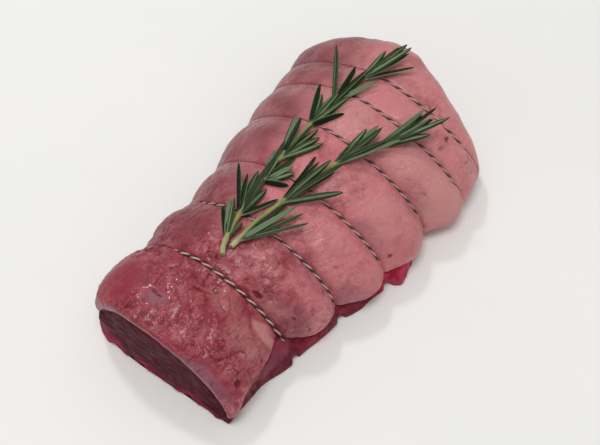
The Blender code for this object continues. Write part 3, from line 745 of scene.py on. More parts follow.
def lean_slice(x, steps, foot_groove=FOOT_SHOWN):
    """The lean's outline at x: its top under the cap, and the rest from the right edge round to the left."""
    thick = cap_thickness(x, steps) + CAP_TO_LEAN
    angles = cap_angles(x, steps)
    top = np.concatenate([Slice(x, t).points(np.array([a])) for t, a in zip(thick, angles)])
    heel = ramp(x, LOOPS[-1][0], HEEL_SHARE_LENGTH)
    edge_left, edge_right = cap_edges(x)
    feet = []
    for side, line, end, height in ((-1, FOOT_RIGHT, -1, edge_right), (1, FOOT_LEFT, 0, edge_left)):
        foot = mix(side * (read_line(line, x) - foot_groove * groove(x)), top[end][1], heel)
        shoulder = min(height, top[end][2]) - SHOULDER_DROP
        feet.append(foot_curve(top[end], shoulder, foot, GROOVE_UNDER * groove(x)))
    right, left = feet
    underside = mix(right[-1], left[-1], np.linspace(0.0, 1.0, UNDERSIDE_STEPS + 1)[1:-1, None])
    return top, np.concatenate([right, underside, left[::-1]])


def evenly(points, count):
    """The same line with its points evenly spaced."""
    run = run_along(points)
    want = np.linspace(0.0, run[-1], count)
    return np.stack([np.interp(want, run, points[:, k]) for k in range(3)], axis=-1)


def strands(along, across, seed):
    """Muscle strands: ridges that run far along and are narrow across. From 0 to 1."""
    valleys = []
    for k, (long, wide) in enumerate((WIDE_STRAND, FINE_STRAND)):
        p = np.stack([along / long, across / wide, np.full_like(along, k)], axis=-1)
        valleys.append(np.abs(field(p, 1.0, seed + k)))
    return np.clip(1.0 - 1.6 * valleys[0] - 0.8 * valleys[1], 0.0, 1.0)


def face_rows():
    """The cut face from its upper edge to its lower one, with how raised each strand is."""
    top, rest = lean_slice(CUT_X, CAP_STEPS)
    low = evenly(np.concatenate([top[:1], rest[::-1], top[-1:]]), CAP_STEPS + 1)
    t = np.linspace(0.0, 1.0, FACE_ROWS + 1)[:, None, None]
    p = mix(top[None], low[None], t)
    depth = t[..., 0] * np.ones(CAP_STEPS + 1)
    raised = strands(p[..., 1], depth * FACE_HEIGHT + STRAND_SLANT * p[..., 1], 11)
    out = STRAND_HIGH * raised + FACE_WAVE * field(p, FACE_WAVE_SIZE, 12)
    for y, z, radius, deep in FACE_DENTS:
        far = np.hypot(p[..., 1] - y, p[..., 2] - z)
        out -= deep * (1.0 - smooth(far / radius))
    tatters = TATTERS * field(p * TATTERS_PULLED, TATTER_SIZE, 13) + SHREDS * field(p, SHRED_SIZE, 14)
    out += ramp(depth, *RAGGED_FROM) * tatters
    out -= RIM_IN * ramp(depth, *RIM_FROM)
    out *= smooth(depth / UPPER_EDGE_CALM)
    p[..., 0] -= out
    return lean_back(p), raised


def rough_foot(rest, side):
    """The bare foot pushed in and out, but not at its two ends or where it lies on the floor."""
    lift = FOOT_STRAND * side + FOOT_WAVE * field(rest, FOOT_WAVE_SIZE, 22)
    lift = lift + FOOT_LUMP * field(rest, FOOT_LUMP_SIZE, 24)
    lift = lift - FOOT_FOLD * creases(rest, FOOT_FOLD_SIZE, FOOT_FOLD_WIDTH, 23)
    count = np.arange(len(rest))
    free = np.minimum(1.0, count / FOOT_CALM_POINTS) * np.minimum(1.0, count[::-1] / FOOT_CALM_POINTS)
    upright = smooth(rest[:, 2] / FOOT_CALM_HEIGHT)
    ahead = np.gradient(rest[:, 1:], axis=0)
    ahead /= np.maximum(np.linalg.norm(ahead, axis=1, keepdims=True), 1e-9)
    rest[:, 1:] += (lift * free * upright)[:, None] * np.stack([ahead[:, 1], -ahead[:, 0]], axis=-1)
    return rest


def make_lean():
    """The muscle as one closed body."""
    face, raised = face_rows()
    bm = bmesh.new()
    layers = (bm.verts.layers.float.new("strand"), bm.verts.layers.float.new("face"))
    rows = []
    for p, r in zip(face, raised):
        rows.append(add_row(bm, p, (r, np.ones(len(r))), layers))
    for a, b in zip(rows, rows[1:]):
        join_rows(bm, a, b)
    rings, tops = [], UNDER_STEPS + 1
    for x in PLACES[2:]:
        top, rest = lean_slice(x, UNDER_STEPS)
        side = strands(np.full(len(rest), x), rest[:, 1] * 0.4 + rest[:, 2], 21)
        ring = np.concatenate([top, rough_foot(rest, side)[1:-1]])
        ring[:, 0] = shorten(x, CAP_ON_LOBE + CAP_TO_LEAN)
        values = np.concatenate([np.full(tops, 0.5), side[1:-1]])
        rings.append(add_row(bm, lean_back(ring), (values, np.zeros(len(ring))), layers))
    for a, b in zip(rings, rings[1:]):
        join_rows(bm, a, b, closed=True)
    first = rings[0]
    zip_rows(bm, rows[0], first[:tops])
    zip_rows(bm, rows[-1], [first[0]] + first[:tops - 2:-1])
    close_ring(bm, rings[-1])
    bmesh.ops.remove_doubles(bm, verts=bm.verts, dist=MERGE_WITHIN)
    return finish_mesh("lean_muscle", bm)


lean = make_lean()

# %% [markdown]
# Butcher's twine is two plies, one black and one pale, twisted round each other. A texture of dashes would
# look flat at the edges, so the plies are real: a Geometry Nodes tree takes the taut loop as a line, moves
# its points round in a helix, once for each ply, and sweeps a small circle along. The number of turns is
# whole, so that each loop closes. The loop itself is the tight outline of the meat there, like a rubber band.

# %% The taut loops
ROUTE_STEPS, HULL_STEPS, ROUND_STEPS = 240, 40, 1441
TWIST_PITCH = 7.2 * MM
PLY_RADIUS, PLY_OFFSET = 0.52 * MM, 0.27 * MM
PLY_POINTS, PLY_SIDES = 720, 8
# Points of the loop stand closer at its corners: metres of line that one radian of turning counts for.
CORNER_WEIGHT = 0.010


def turn(a, b, c):
    """Above 0 where the way from a over b to c turns left."""
    return (b[0] - a[0]) * (c[1] - a[1]) - (b[1] - a[1]) * (c[0] - a[0])


def hull(points):
    """The convex hull of (y, z) points, anticlockwise."""
    points = sorted(set(points))
    halves = []
    for run in (points, points[::-1]):
        half = []
        for p in run:
            while len(half) > 1 and turn(half[-2], half[-1], p) <= 0:
                half.pop()
            half.append(p)
        halves.append(half[:-1])
    return halves[0] + halves[1]


def taut_loop(x):
    """Points of the taut line round the joint at x, on the twine's middle."""
    meat = []
    for place in (x - GROOVE_HALF_WIDTH, x + GROOVE_HALF_WIDTH):
        skin = Slice(place).points(cap_angles(place, HULL_STEPS))
        top, rest = lean_slice(place, HULL_STEPS, GROOVE_FOOT)
        meat += [(float(p[1]), float(p[2])) for p in (*skin, *top, *rest)]
    corners = np.array(hull(meat))
    off = TWINE_RADIUS + TWINE_GAP
    a = np.linspace(0.0, 2.0 * math.pi, ROUND_STEPS)
    ahead = np.stack([np.cos(a), np.sin(a)], axis=-1)
    line = corners[np.argmax(ahead @ corners.T, axis=1)] + off * ahead
    steps = np.linalg.norm(np.diff(line, axis=0), axis=1) + CORNER_WEIGHT * (a[1] - a[0])
    run = np.concatenate([[0.0], np.cumsum(steps)])
    want = np.linspace(0.0, run[-1], ROUTE_STEPS + 1)[:-1]
    y, z = (np.interp(want, run, line[:, k]) for k in (0, 1))
    return np.stack([np.full_like(y, x), y, z], axis=-1)


def tree_with(name, sockets):
    """An empty Geometry Nodes tree with its named inputs, one geometry result and its two end nodes."""
    tree = bpy.data.node_groups.new(name, "GeometryNodeTree")
    tree.interface.new_socket("Geometry", in_out="INPUT", socket_type="NodeSocketGeometry")
    for label, kind in sockets:
        tree.interface.new_socket(label, in_out="INPUT", socket_type=kind)
    tree.interface.new_socket("Geometry", in_out="OUTPUT", socket_type="NodeSocketGeometry")
    return tree, tree.nodes.new("NodeGroupInput"), tree.nodes.new("NodeGroupOutput")


def add(tree, kind, values=None, **settings):
    """Adds a node with its settings, and fills its inputs with values or with links from sockets."""
    node = tree.nodes.new(kind)
    for key, value in settings.items():
        setattr(node, key, value)
    for key, value in (values or {}).items():
        if isinstance(value, bpy.types.NodeSocket):
            tree.links.new(value, node.inputs[key])
        else:
            node.inputs[key].default_value = value
    return node


def math_node(tree, operation, a, b=0.0, c=0.0):
    return add(tree, "ShaderNodeMath", {0: a, 1: b, 2: c}, operation=operation).outputs[0]


def vector_node(tree, operation, a, b=(0.0, 0.0, 0.0), scale=1.0):
    return add(tree, "ShaderNodeVectorMath", {0: a, 1: b, 3: scale}, operation=operation).outputs[0]


def run_tree(name, mesh, tree, values):
    """Runs the tree on a mesh, with its named inputs set, and returns the result as a plain object."""
    source = new_object(name + "_source", mesh)
    modifier = source.modifiers.new("grow", "NODES")
    modifier.node_group = tree
    for item in tree.interface.items_tree:
        if item.in_out == "INPUT" and item.name in values:
            modifier[item.identifier] = values[item.name]
    depsgraph = bpy.context.evaluated_depsgraph_get()
    made = bpy.data.meshes.new_from_object(source.evaluated_get(depsgraph))
    made.name = name
    bpy.data.objects.remove(source)
    piece = new_object(name, made)
    say_triangles(piece)
    return piece


def twist_tree():
    """Two plies twisted round a closed line."""
    sizes = [(label, "NodeSocketFloat") for label in ("Turns", "Ply radius", "Ply offset")]
    sockets = (*sizes, ("Dark ply", "NodeSocketMaterial"), ("Pale ply", "NodeSocketMaterial"))
    tree, start, end = tree_with("twisted_twine", sockets)
    given = start.outputs
    line = add(tree, "GeometryNodeMeshToCurve", {0: given["Geometry"]}).outputs[0]
    line = add(tree, "GeometryNodeResampleCurve", {"Curve": line, "Count": PLY_POINTS}).outputs[0]
    along = add(tree, "GeometryNodeSplineParameter").outputs["Factor"]
    tangent = add(tree, "GeometryNodeInputTangent").outputs[0]
    out = vector_node(tree, "CROSS_PRODUCT", tangent, (1.0, 0.0, 0.0))
    round_ply = {"Resolution": PLY_SIDES, "Radius": given["Ply radius"]}
    circle = add(tree, "GeometryNodeCurvePrimitiveCircle", round_ply).outputs[0]
    joined = add(tree, "GeometryNodeJoinGeometry")
    for phase, label in ((0.0, "Dark ply"), (0.5, "Pale ply")):
        turned = math_node(tree, "MULTIPLY_ADD", along, given["Turns"], phase)
        angle = math_node(tree, "MULTIPLY", turned, 2.0 * math.pi)
        across = math_node(tree, "MULTIPLY", math_node(tree, "COSINE", angle), given["Ply offset"])
        aside = math_node(tree, "MULTIPLY", math_node(tree, "SINE", angle), given["Ply offset"])
        move = vector_node(tree, "SCALE", out, scale=across)
        shift = add(tree, "ShaderNodeCombineXYZ", {0: aside}).outputs[0]
        both = vector_node(tree, "ADD", move, shift)
        moved = add(tree, "GeometryNodeSetPosition", {"Geometry": line, "Offset": both}).outputs[0]
        ply = add(tree, "GeometryNodeCurveToMesh", {"Curve": moved, "Profile Curve": circle}).outputs[0]
        ply = add(tree, "GeometryNodeSetShadeSmooth", {"Geometry": ply}).outputs[0]
        real = add(tree, "GeometryNodeRealizeInstances", {"Geometry": ply}).outputs[0]
        dressed = add(tree, "GeometryNodeSetMaterial", {"Geometry": real, "Material": given[label]})
        tree.links.new(dressed.outputs[0], joined.inputs[0])
    tree.links.new(joined.outputs[0], end.inputs[0])
    return tree


dark_ply = bpy.data.materials.new("twine_black")
pale_ply = bpy.data.materials.new("twine_pale")
twist = twist_tree()
loops = []
for number, row in enumerate(LOOPS, start=1):
    line = taut_loop(row[0])
    length = float(np.linalg.norm(line - np.roll(line, 1, axis=0), axis=1).sum())
    mesh = bpy.data.meshes.new("loop_line")
    mesh.from_pydata(line.tolist(), [(k, (k + 1) % ROUTE_STEPS) for k in range(ROUTE_STEPS)], [])
    loops.append(run_tree(f"twine_loop_{number}", mesh, twist, {
        "Turns": float(round(length / TWIST_PITCH)),
        "Ply radius": PLY_RADIUS,
        "Ply offset": PLY_OFFSET,
        "Dark ply": dark_ply,
        "Pale ply": pale_ply,
    }))
    print(f"loop {number} is {1000 * length:.0f} mm round")

# %% [markdown]
# Rosemary carries stiff needles in bunches along a green stem. One needle is modelled well, with its rolled
# edges, its groove above and its pale rib below, and Geometry Nodes set a copy at each point of a bunch, with
# that needle's own direction, length and bend. A ray cast straight down from each vertex finds the meat or
# the twine under it, and lifts what would sink in, so the sprigs lie on the joint as real ones do.

# %% The stems
# Each sprig: the stem's route over the meat as (x, y), then its bunches, each with its distance from the
# stem's cut end and, for each needle, the angle off the stem in degrees, left positive, and the length.
SPRIGS = {
    "rosemary_left": (
        ((-0.0635, 0.0015), (-0.0575, 0.0045), (-0.042, 0.008), (-0.019, 0.010), (0.008, 0.0105),
         (0.0425, 0.009), (0.062, 0.006), (0.072, 0.003)),
        (
            (0.008, ((25, 0.019), (17, 0.022), (9, 0.023), (-20, 0.012))),
            (0.023, ((27, 0.032), (18, 0.024), (10, 0.028), (3, 0.037), (-8, 0.024), (-17, 0.020),
                     (-38, 0.022))),
            (0.046, ((14, 0.020), (7, 0.026), (-3, 0.021), (-14, 0.022), (-29, 0.018), (-44, 0.017),
                     (-70, 0.014))),
            (0.062, ((20, 0.030), (12, 0.028), (5, 0.026), (-4, 0.026), (-14, 0.027), (-24, 0.024),
                     (-39, 0.024))),
            (0.088, ((24, 0.027), (13, 0.021), (4, 0.022), (-5, 0.024), (-14, 0.027), (-29, 0.020))),
            (0.108, ((33, 0.036), (13, 0.024), (5, 0.025), (-3, 0.025), (-12, 0.024), (-22, 0.027))),
            (0.129, ((10, 0.023), (4, 0.029), (-2, 0.033), (-9, 0.033), (-15, 0.031), (-22, 0.030))),
        ),
    ),
    "rosemary_right": (
        ((-0.0575, 0.0005), (-0.051, 0.0), (-0.039, -0.001), (-0.025, -0.0045), (-0.006, -0.0085),
         (0.009, -0.0135), (0.022, -0.0185), (0.034, -0.0245), (0.042, -0.029)),
        (
            (0.003, ((-12, 0.033), (-19, 0.035), (-26, 0.037), (-34, 0.037))),
            (0.034, ((12, 0.033), (6, 0.030), (0, 0.034), (-6, 0.038), (-13, 0.033), (-36, 0.032))),
            (0.069, ((17, 0.023), (10, 0.034), (4, 0.033), (-2, 0.032), (-8, 0.030), (-15, 0.037),
                     (13, 0.028), (-11, 0.031))),
            (0.096, ((14, 0.027), (8, 0.033), (2, 0.037), (-4, 0.036), (-9, 0.040), (-14, 0.028), (5, 0.029),
                     (-1, 0.033), (-7, 0.031))),
        ),
    ),
}
STEM_RADIUS, STEM_TIP_RADIUS = 1.3 * MM, 0.7 * MM
STEM_STEPS, STEM_SIDES, CURVE_CUTS = 96, 12, 24
# A stiff stem spans the hollows that are shorter than this on each side.
STEM_REACH = 8.0 * MM
KNOT_LENGTH, KNOT_SWELL, STEM_SQUARENESS = 1.6 * MM, 0.22, 0.06
RAY_FROM = 0.2


def merged(name, pieces):
    """One mesh of several pieces, for measuring only."""
    bm = bmesh.new()
    for piece in pieces:
        bm.from_mesh(piece.data)
    return object_from(name, bm)


ground = merged("ground", [cap, *loops])
ground_faces = [p.vertices for p in ground.data.polygons]
ground_tree = BVHTree.FromPolygons([v.co for v in ground.data.vertices], ground_faces)


def height_under(x, y):
    """Height of the meat or twine at (x, y), found by a ray from above."""
    hit = ground_tree.ray_cast(Vector((x, y, RAY_FROM)), Vector((0.0, 0.0, -1.0)))[0]
    return hit.z if hit else 0.0


def curve_points(points, steps):
    """Points evenly spaced along a smooth curve through the given ones, and the curve's length."""
    padded = [2.0 * points[0] - points[1], *points, 2.0 * points[-1] - points[-2]]
    fine = []
    for a, b, c, d in zip(padded, padded[1:], padded[2:], padded[3:]):
        for t in np.linspace(0.0, 1.0, CURVE_CUTS, endpoint=False):
            cubic = (3.0 * b - a - 3.0 * c + d) * t**3
            fine.append(0.5 * (2.0 * b + (c - a) * t + (2.0 * a - 5.0 * b + 4.0 * c - d) * t * t + cubic))
    fine = np.array(fine + [points[-1]])
    return evenly(fine, steps + 1), float(run_along(fine)[-1])


def stem_line(route):
    """The stem's middle line, resting on the highest places under it, and its length."""
    points, length = curve_points([Vector((x, y, 0.0)) for x, y in route], STEM_STEPS)
    reach = round(STEM_REACH / length * STEM_STEPS)
    rests = np.array([height_under(p[0], p[1]) for p in points]) + STEM_RADIUS
    highest = [rests[max(0, i - reach):i + reach + 1].max() for i in range(len(points))]
    points[:, 2] = [np.mean(highest[max(0, i - reach):i + reach + 1]) for i in range(len(points))]
    return points, length


def stem_mesh(name, points, length, nodes):
    """A round tapering stem that thickens a little where each bunch grows."""
    bm = bmesh.new()
    along = bm.verts.layers.float.new("along")
    rows = []
    for i, p in enumerate(points):
        t = i / STEM_STEPS
        ahead = points[min(i + 1, STEM_STEPS)] - points[max(i - 1, 0)]
        ahead /= np.linalg.norm(ahead)
        side = np.cross(ahead, (0.0, 0.0, 1.0))
        side /= np.linalg.norm(side)
        up = np.cross(side, ahead)
        knot = sum(math.exp(-(((t * length - place) / KNOT_LENGTH) ** 2)) for place, _ in nodes)
        radius = mix(STEM_RADIUS, STEM_TIP_RADIUS, t) * (1.0 + KNOT_SWELL * knot)
        ring = []
        for k in range(STEM_SIDES):
            a = 2.0 * math.pi * k / STEM_SIDES
            square = 1.0 + STEM_SQUARENESS * math.cos(4.0 * a)
            ring.append(p + radius * square * (math.cos(a) * side + math.sin(a) * up))
        rows.append(add_row(bm, ring, (np.full(STEM_SIDES, t),), (along,)))
    for a, b in zip(rows, rows[1:]):
        join_rows(bm, a, b, closed=True)
    close_ring(bm, rows[0])
    close_ring(bm, rows[-1])
    return finish_mesh(name, bm, sharp=50.0)


# %% [markdown]
# A needle is long and narrow, so one cross-section of 12 points, repeated ten times at changing widths, is
# enough. It carries values of its own, such as how far along and how far across each point is, and every copy
# keeps them, so that the finish can draw a rib and a rim on each needle.

# %% One needle leaf
LEAF_HALF_WIDTH, LEAF_THICK = 1.75 * MM, 0.6 * MM
# Points of the cross-section as (share of the half width, share of the thickness), then the half width along
# the needle as (place, share). The thickness falls off only near its ends.
LEAF_TOP = ((-1.0, -0.35), (-0.72, 0.60), (-0.34, 0.95), (0.0, 0.40), (0.34, 0.95), (0.72, 0.60),
            (1.0, -0.35))
LEAF_UNDER = ((0.72, -0.80), (0.26, -0.15), (0.0, -0.62), (-0.26, -0.15), (-0.72, -0.80))
LEAF_OUTLINE = ((0.0, 0.32), (0.05, 0.48), (0.14, 0.76), (0.28, 0.94), (0.45, 1.0), (0.62, 0.98),
                (0.76, 0.89), (0.87, 0.70), (0.95, 0.44), (0.985, 0.22))
LEAF_LOWEST, LEAF_PLUMPNESS = -0.8, 1.3


def leaf_model():
    """One needle of length 1 along X, at its true width and thickness."""
    bm = bmesh.new()
    names = ("leaf_along", "leaf_across", "leaf_under", "leaf_above")
    layers = [bm.verts.layers.float.new(name) for name in names]
    section = LEAF_TOP + LEAF_UNDER
    under = np.array([0.0] * len(LEAF_TOP) + [1.0] * len(LEAF_UNDER))
    across = np.array([u for u, _ in section])
    high = np.array([z for _, z in section])
    rows = []
    for t, width in LEAF_OUTLINE:
        thick = LEAF_THICK * min(1.0, width * LEAF_PLUMPNESS)
        points = [(t, u * width * LEAF_HALF_WIDTH, z * thick) for u, z in section]
        values = (np.full(len(section), t), across, under, (high - LEAF_LOWEST) * thick)
        rows.append(add_row(bm, points, values, layers))
    for a, b in zip(rows, rows[1:]):
        join_rows(bm, a, b, closed=True)
    close_ring(bm, rows[0])
    tip = bm.verts.new((1.0, 0.0, 0.0))
    tip[layers[0]] = 1.0
    for p, q in zip(rows[-1], rows[-1][1:] + rows[-1][:1]):
        bm.faces.new((p, q, tip))
    return finish_mesh("needle_leaf", bm, sharp=70.0)


# %% [markdown]
# Each bunch is a short list of angles and lengths, and the small differences between needles come from random
# draws with a fixed seed. They are kept as values on points, which is what the nodes read when they set out
# the copies. The points could be scattered by the nodes too, but the bunches have their own known places.

# %% Where the needles grow
LEAF_SEED = 7
LEAF_CLEAR = 0.35 * MM
# How steeply the needles rise, in degrees, in turn, and for those that lie within some degrees of the stem.
LEAF_LIFTS, LIFT_SHARE = (4.0, 9.0, 1.0, 6.0), 0.8
LIFT_OVER_STEM, OVER_STEM = 11.0, 10.0
# How far a needle rolls about itself, at random and with its angle, and the share that show their undersides.
LEAF_ROLL, ROLL_WITH_ANGLE, LEAVES_TURNED_OVER = 44.0, 0.35, 0.07
# How far a needle bends aside, and up or down, as shares of its length, its width, and its start's spread.
LEAF_BEND, LEAF_DROOP, LEAF_WIDTHS, ROOT_SPREAD = 0.10, (-0.03, 0.06), (0.86, 1.08), 0.2 * MM


def leaf_points(name, points, length, nodes):
    """One vertex for each needle, with its direction, size, bend and tone."""
    draw = random.Random(LEAF_SEED)
    places, turns, sizes, sways, tones = [], [], [], [], []
    for place, bunch in nodes:
        i = min(STEM_STEPS - 1, round(place / length * STEM_STEPS))
        ahead = points[i + 1] - points[i]
        heading = math.atan2(ahead[1], ahead[0])
        for angle, leaf_length in bunch:
            lift = LIFT_OVER_STEM if abs(angle) < OVER_STEM else LEAF_LIFTS[len(places) % len(LEAF_LIFTS)]
            roll = draw.uniform(-LEAF_ROLL, LEAF_ROLL) - ROLL_WITH_ANGLE * angle
            roll += 180.0 if draw.random() < LEAVES_TURNED_OVER else 0.0
            bearing = heading + math.radians(angle)
            bend = draw.uniform(-LEAF_BEND, LEAF_BEND) * leaf_length
            places.append(points[i] + np.array((0.0, 0.0, ROOT_SPREAD * draw.uniform(-1.0, 1.0))))
            turns.append((math.radians(roll), -math.radians(LIFT_SHARE * lift), bearing))
            sizes.append((leaf_length, draw.uniform(*LEAF_WIDTHS), 1.0))
            droop = draw.uniform(*LEAF_DROOP) * leaf_length
            sways.append((-math.sin(bearing) * bend, math.cos(bearing) * bend, droop))
            tones.append(draw.random())
    mesh = bpy.data.meshes.new(name)
    mesh.from_pydata([tuple(p) for p in places], [], [])
    for label, rows in (("turn", turns), ("size", sizes), ("sway", sways)):
        layer = mesh.attributes.new(label, "FLOAT_VECTOR", "POINT")
        layer.data.foreach_set("vector", np.array(rows, np.float32).ravel())
    mesh.attributes.new("tone", "FLOAT", "POINT").data.foreach_set("value", np.array(tones, np.float32))
    return mesh


def named(tree, name, kind):
    """A value that each point carries under that name."""
    return add(tree, "GeometryNodeInputNamedAttribute", {"Name": name}, data_type=kind).outputs[0]


def leaf_tree():
    """A needle at each point, bent, and lifted clear of what lies under it."""
    sockets = (("Needle", "NodeSocketObject"), ("Ground", "NodeSocketObject"), ("Clear", "NodeSocketFloat"),
               ("Leaf finish", "NodeSocketMaterial"))
    tree, start, end = tree_with("needle_bunches", sockets)
    given = start.outputs
    needle = add(tree, "GeometryNodeObjectInfo", {"Object": given["Needle"]}).outputs["Geometry"]
    ground_shape = add(tree, "GeometryNodeObjectInfo", {"Object": given["Ground"]}).outputs["Geometry"]
    set_out = add(tree, "GeometryNodeInstanceOnPoints", {
        "Points": given["Geometry"],
        "Instance": needle,
        "Rotation": named(tree, "turn", "FLOAT_VECTOR"),
        "Scale": named(tree, "size", "FLOAT_VECTOR"),
    }).outputs[0]
    real = add(tree, "GeometryNodeRealizeInstances", {"Geometry": set_out}).outputs[0]
    along = named(tree, "leaf_along", "FLOAT")
    bend = math_node(tree, "POWER", along, 2.0)
    push = vector_node(tree, "SCALE", named(tree, "sway", "FLOAT_VECTOR"), scale=bend)
    swayed = add(tree, "GeometryNodeSetPosition", {"Geometry": real, "Offset": push}).outputs[0]
    place = add(tree, "ShaderNodeSeparateXYZ", {0: add(tree, "GeometryNodeInputPosition").outputs[0]})
    x, y, z = place.outputs
    above = add(tree, "ShaderNodeCombineXYZ", {0: x, 1: y, 2: RAY_FROM}).outputs[0]
    ray = add(tree, "GeometryNodeRaycast", {
        "Target Geometry": ground_shape,
        "Source Position": above,
        "Ray Direction": (0.0, 0.0, -1.0),
        "Ray Length": 1.0,
    })
    floor = add(tree, "ShaderNodeSeparateXYZ", {0: ray.outputs["Hit Position"]}).outputs[2]
    clear = math_node(tree, "ADD", given["Clear"], named(tree, "leaf_above", "FLOAT"))
    need = math_node(tree, "SUBTRACT", math_node(tree, "ADD", floor, clear), z)
    raise_by = math_node(tree, "MULTIPLY", math_node(tree, "MAXIMUM", need, 0.0), ray.outputs["Is Hit"])
    offset = add(tree, "ShaderNodeCombineXYZ", {2: raise_by}).outputs[0]
    lifted = add(tree, "GeometryNodeSetPosition", {"Geometry": swayed, "Offset": offset}).outputs[0]
    dressed = add(tree, "GeometryNodeSetMaterial", {"Geometry": lifted, "Material": given["Leaf finish"]})
    tree.links.new(dressed.outputs[0], end.inputs[0])
    return tree


# %% The sprigs, each of a stem and its needles
leaf_finish = bpy.data.materials.new("rosemary_leaf")
stem_finish = bpy.data.materials.new("rosemary_stem")
needle = leaf_model()
needles = leaf_tree()
sprigs = {}
for name, (route, nodes) in SPRIGS.items():
    points, length = stem_line(route)
    stem = stem_mesh(name + "_stem", points, length, nodes)
    stem.data.materials.append(stem_finish)
    leaves = run_tree(name + "_needles", leaf_points(name, points, length, nodes), needles, {
        "Needle": needle,
        "Ground": ground,
        "Clear": LEAF_CLEAR,
        "Leaf finish": leaf_finish,
    })
    sprigs[name] = (stem, leaves)
    print(f"{name} is {1000 * length:.0f} mm long")
for tool in (needle, ground):
    bpy.data.objects.remove(tool)

# %% [markdown]
# Meat has no single colour. The fat is pale rose where it is thick, and the red muscle shows through where
# it is thin or creased; deep creases are darkened further as painted shade. Four shader groups hold the
# effects
# that the finishes are mixed from: slow patches of colour, fine strands, the small wet grain that gives raw
# meat its broken highlights, and a net of creases.

# %% Colours and shader groups


def tone(red, green, blue):
    """A colour given as it looks on a screen, 0 to 255, as the shader wants it."""
    linear = []
    for c in (red, green, blue):
        c /= 255.0
        linear.append(c / 12.92 if c <= 0.04045 else ((c + 0.055) / 1.055) ** 2.4)
    return (*linear, 1.0)


def shader_group(name, inputs, outputs):
    """An empty shader group, with the sockets that it is given and the ones that it puts out."""
    tree = bpy.data.node_groups.new(name, "ShaderNodeTree")
    for label, kind, value in inputs:
        socket = tree.interface.new_socket(label, in_out="INPUT", socket_type=kind)
        if value is not None:
            socket.default_value = value
    for label in outputs:
        tree.interface.new_socket(label, in_out="OUTPUT", socket_type="NodeSocketFloat")
    return tree, tree.nodes.new("NodeGroupInput").outputs, tree.nodes.new("NodeGroupOutput").inputs


def noise_node(tree, vector, size, detail=3.0, rough=0.5, warp=0.0):
    """Noise whose features are about size metres across."""
    scale = math_node(tree, "DIVIDE", 1.0, size)
    values = {"Vector": vector, "Scale": scale, "Detail": detail, "Roughness": rough, "Distortion": warp}
    return add(tree, "ShaderNodeTexNoise", values).outputs["Fac"]


def between(tree, value, low, high, to_low=0.0, to_high=1.0):
    """Stretches the range low to high over to_low to to_high, softly and without going past."""
    values = {"Value": value, "From Min": low, "From Max": high, "To Min": to_low, "To Max": to_high}
    return add(tree, "ShaderNodeMapRange", values, interpolation_type="SMOOTHSTEP").outputs[0]


def patches_group():
    """Slow, cloudy patches, and small specks."""
    inputs = (("Vector", "NodeSocketVector", None), ("Patch size", "NodeSocketFloat", 0.012),
              ("Speck size", "NodeSocketFloat", 0.0015))
    tree, given, made = shader_group("cloudy_patches", inputs, ("Patches", "Specks"))
    slow = noise_node(tree, given["Vector"], given["Patch size"], detail=4.0, rough=0.6, warp=0.6)
    quick = noise_node(tree, given["Vector"], given["Speck size"], detail=2.0, rough=0.6)
    tree.links.new(between(tree, slow, 0.32, 0.68), made["Patches"])
    tree.links.new(between(tree, quick, 0.30, 0.70), made["Specks"])
    return tree


def strands_group():
    """Fine strands along one direction: give it a vector that is squeezed along them."""
    inputs = (("Vector", "NodeSocketVector", None), ("Strand size", "NodeSocketFloat", 0.001))
    tree, given, made = shader_group("fine_strands", inputs, ("Strands", "Height"))
    wide = noise_node(tree, given["Vector"], given["Strand size"], detail=3.0, rough=0.62, warp=0.3)
    bundle = math_node(tree, "MULTIPLY", given["Strand size"], 4.0)
    slow = noise_node(tree, given["Vector"], bundle, detail=2.0)
    both = math_node(tree, "MULTIPLY_ADD", slow, 0.45, math_node(tree, "MULTIPLY", wide, 0.55))
    tree.links.new(between(tree, both, 0.36, 0.64), made["Strands"])
    tree.links.new(both, made["Height"])
    return tree


def wet_grain_group():
    """The small wet grain of raw meat: a height for the bump, and how glossy each place is."""
    inputs = (("Vector", "NodeSocketVector", None), ("Grain size", "NodeSocketFloat", 0.0012))
    tree, given, made = shader_group("wet_grain", inputs, ("Height", "Gloss"))
    grain = noise_node(tree, given["Vector"], given["Grain size"], detail=3.0, rough=0.6, warp=0.4)
    pool_size = math_node(tree, "MULTIPLY", given["Grain size"], 6.0)
    pool = noise_node(tree, given["Vector"], pool_size, detail=2.0)
    tree.links.new(grain, made["Height"])
    tree.links.new(between(tree, pool, 0.35, 0.65), made["Gloss"])
    return tree


def crease_net_group():
    """A net of fine winding creases, broken up, and the height of the small lumps between them."""
    inputs = (("Vector", "NodeSocketVector", None), ("Mesh size", "NodeSocketFloat", 0.003),
              ("Crease width", "NodeSocketFloat", 0.07))
    tree, given, made = shader_group("crease_net", inputs, ("Creases", "Height"))
    place, size = given["Vector"], given["Mesh size"]
    slow = noise_node(tree, place, size, detail=1.0, warp=1.2)
    from_line = math_node(tree, "ABSOLUTE", math_node(tree, "SUBTRACT", slow, 0.5))
    line = between(tree, math_node(tree, "DIVIDE", from_line, given["Crease width"]), 0.0, 1.0, 1.0, 0.0)
    breaks = noise_node(tree, place, math_node(tree, "MULTIPLY", size, 1.7), detail=1.0)
    seen = math_node(tree, "MULTIPLY", line, between(tree, breaks, 0.38, 0.55))
    fine = noise_node(tree, place, math_node(tree, "MULTIPLY", size, 0.45), detail=3.0, rough=0.6, warp=0.5)
    tree.links.new(seen, made["Creases"])
    tree.links.new(math_node(tree, "MULTIPLY_ADD", seen, -0.55, fine), made["Height"])
    return tree


PATCHES, STRANDS, WET, NET = patches_group(), strands_group(), wet_grain_group(), crease_net_group()
print("shader groups:", ", ".join(group.name for group in (PATCHES, STRANDS, WET, NET)))

# %% [markdown]
# A finish is mixed like paint: one plain colour, then glazes over it, each with a mask that says where and a
# share that says how much. A few helpers keep each glaze on one line. Roughness and bump are mixed the same
# way, and what is the same all over the piece is set on the shader's own sockets.

# %% Helpers for the materials


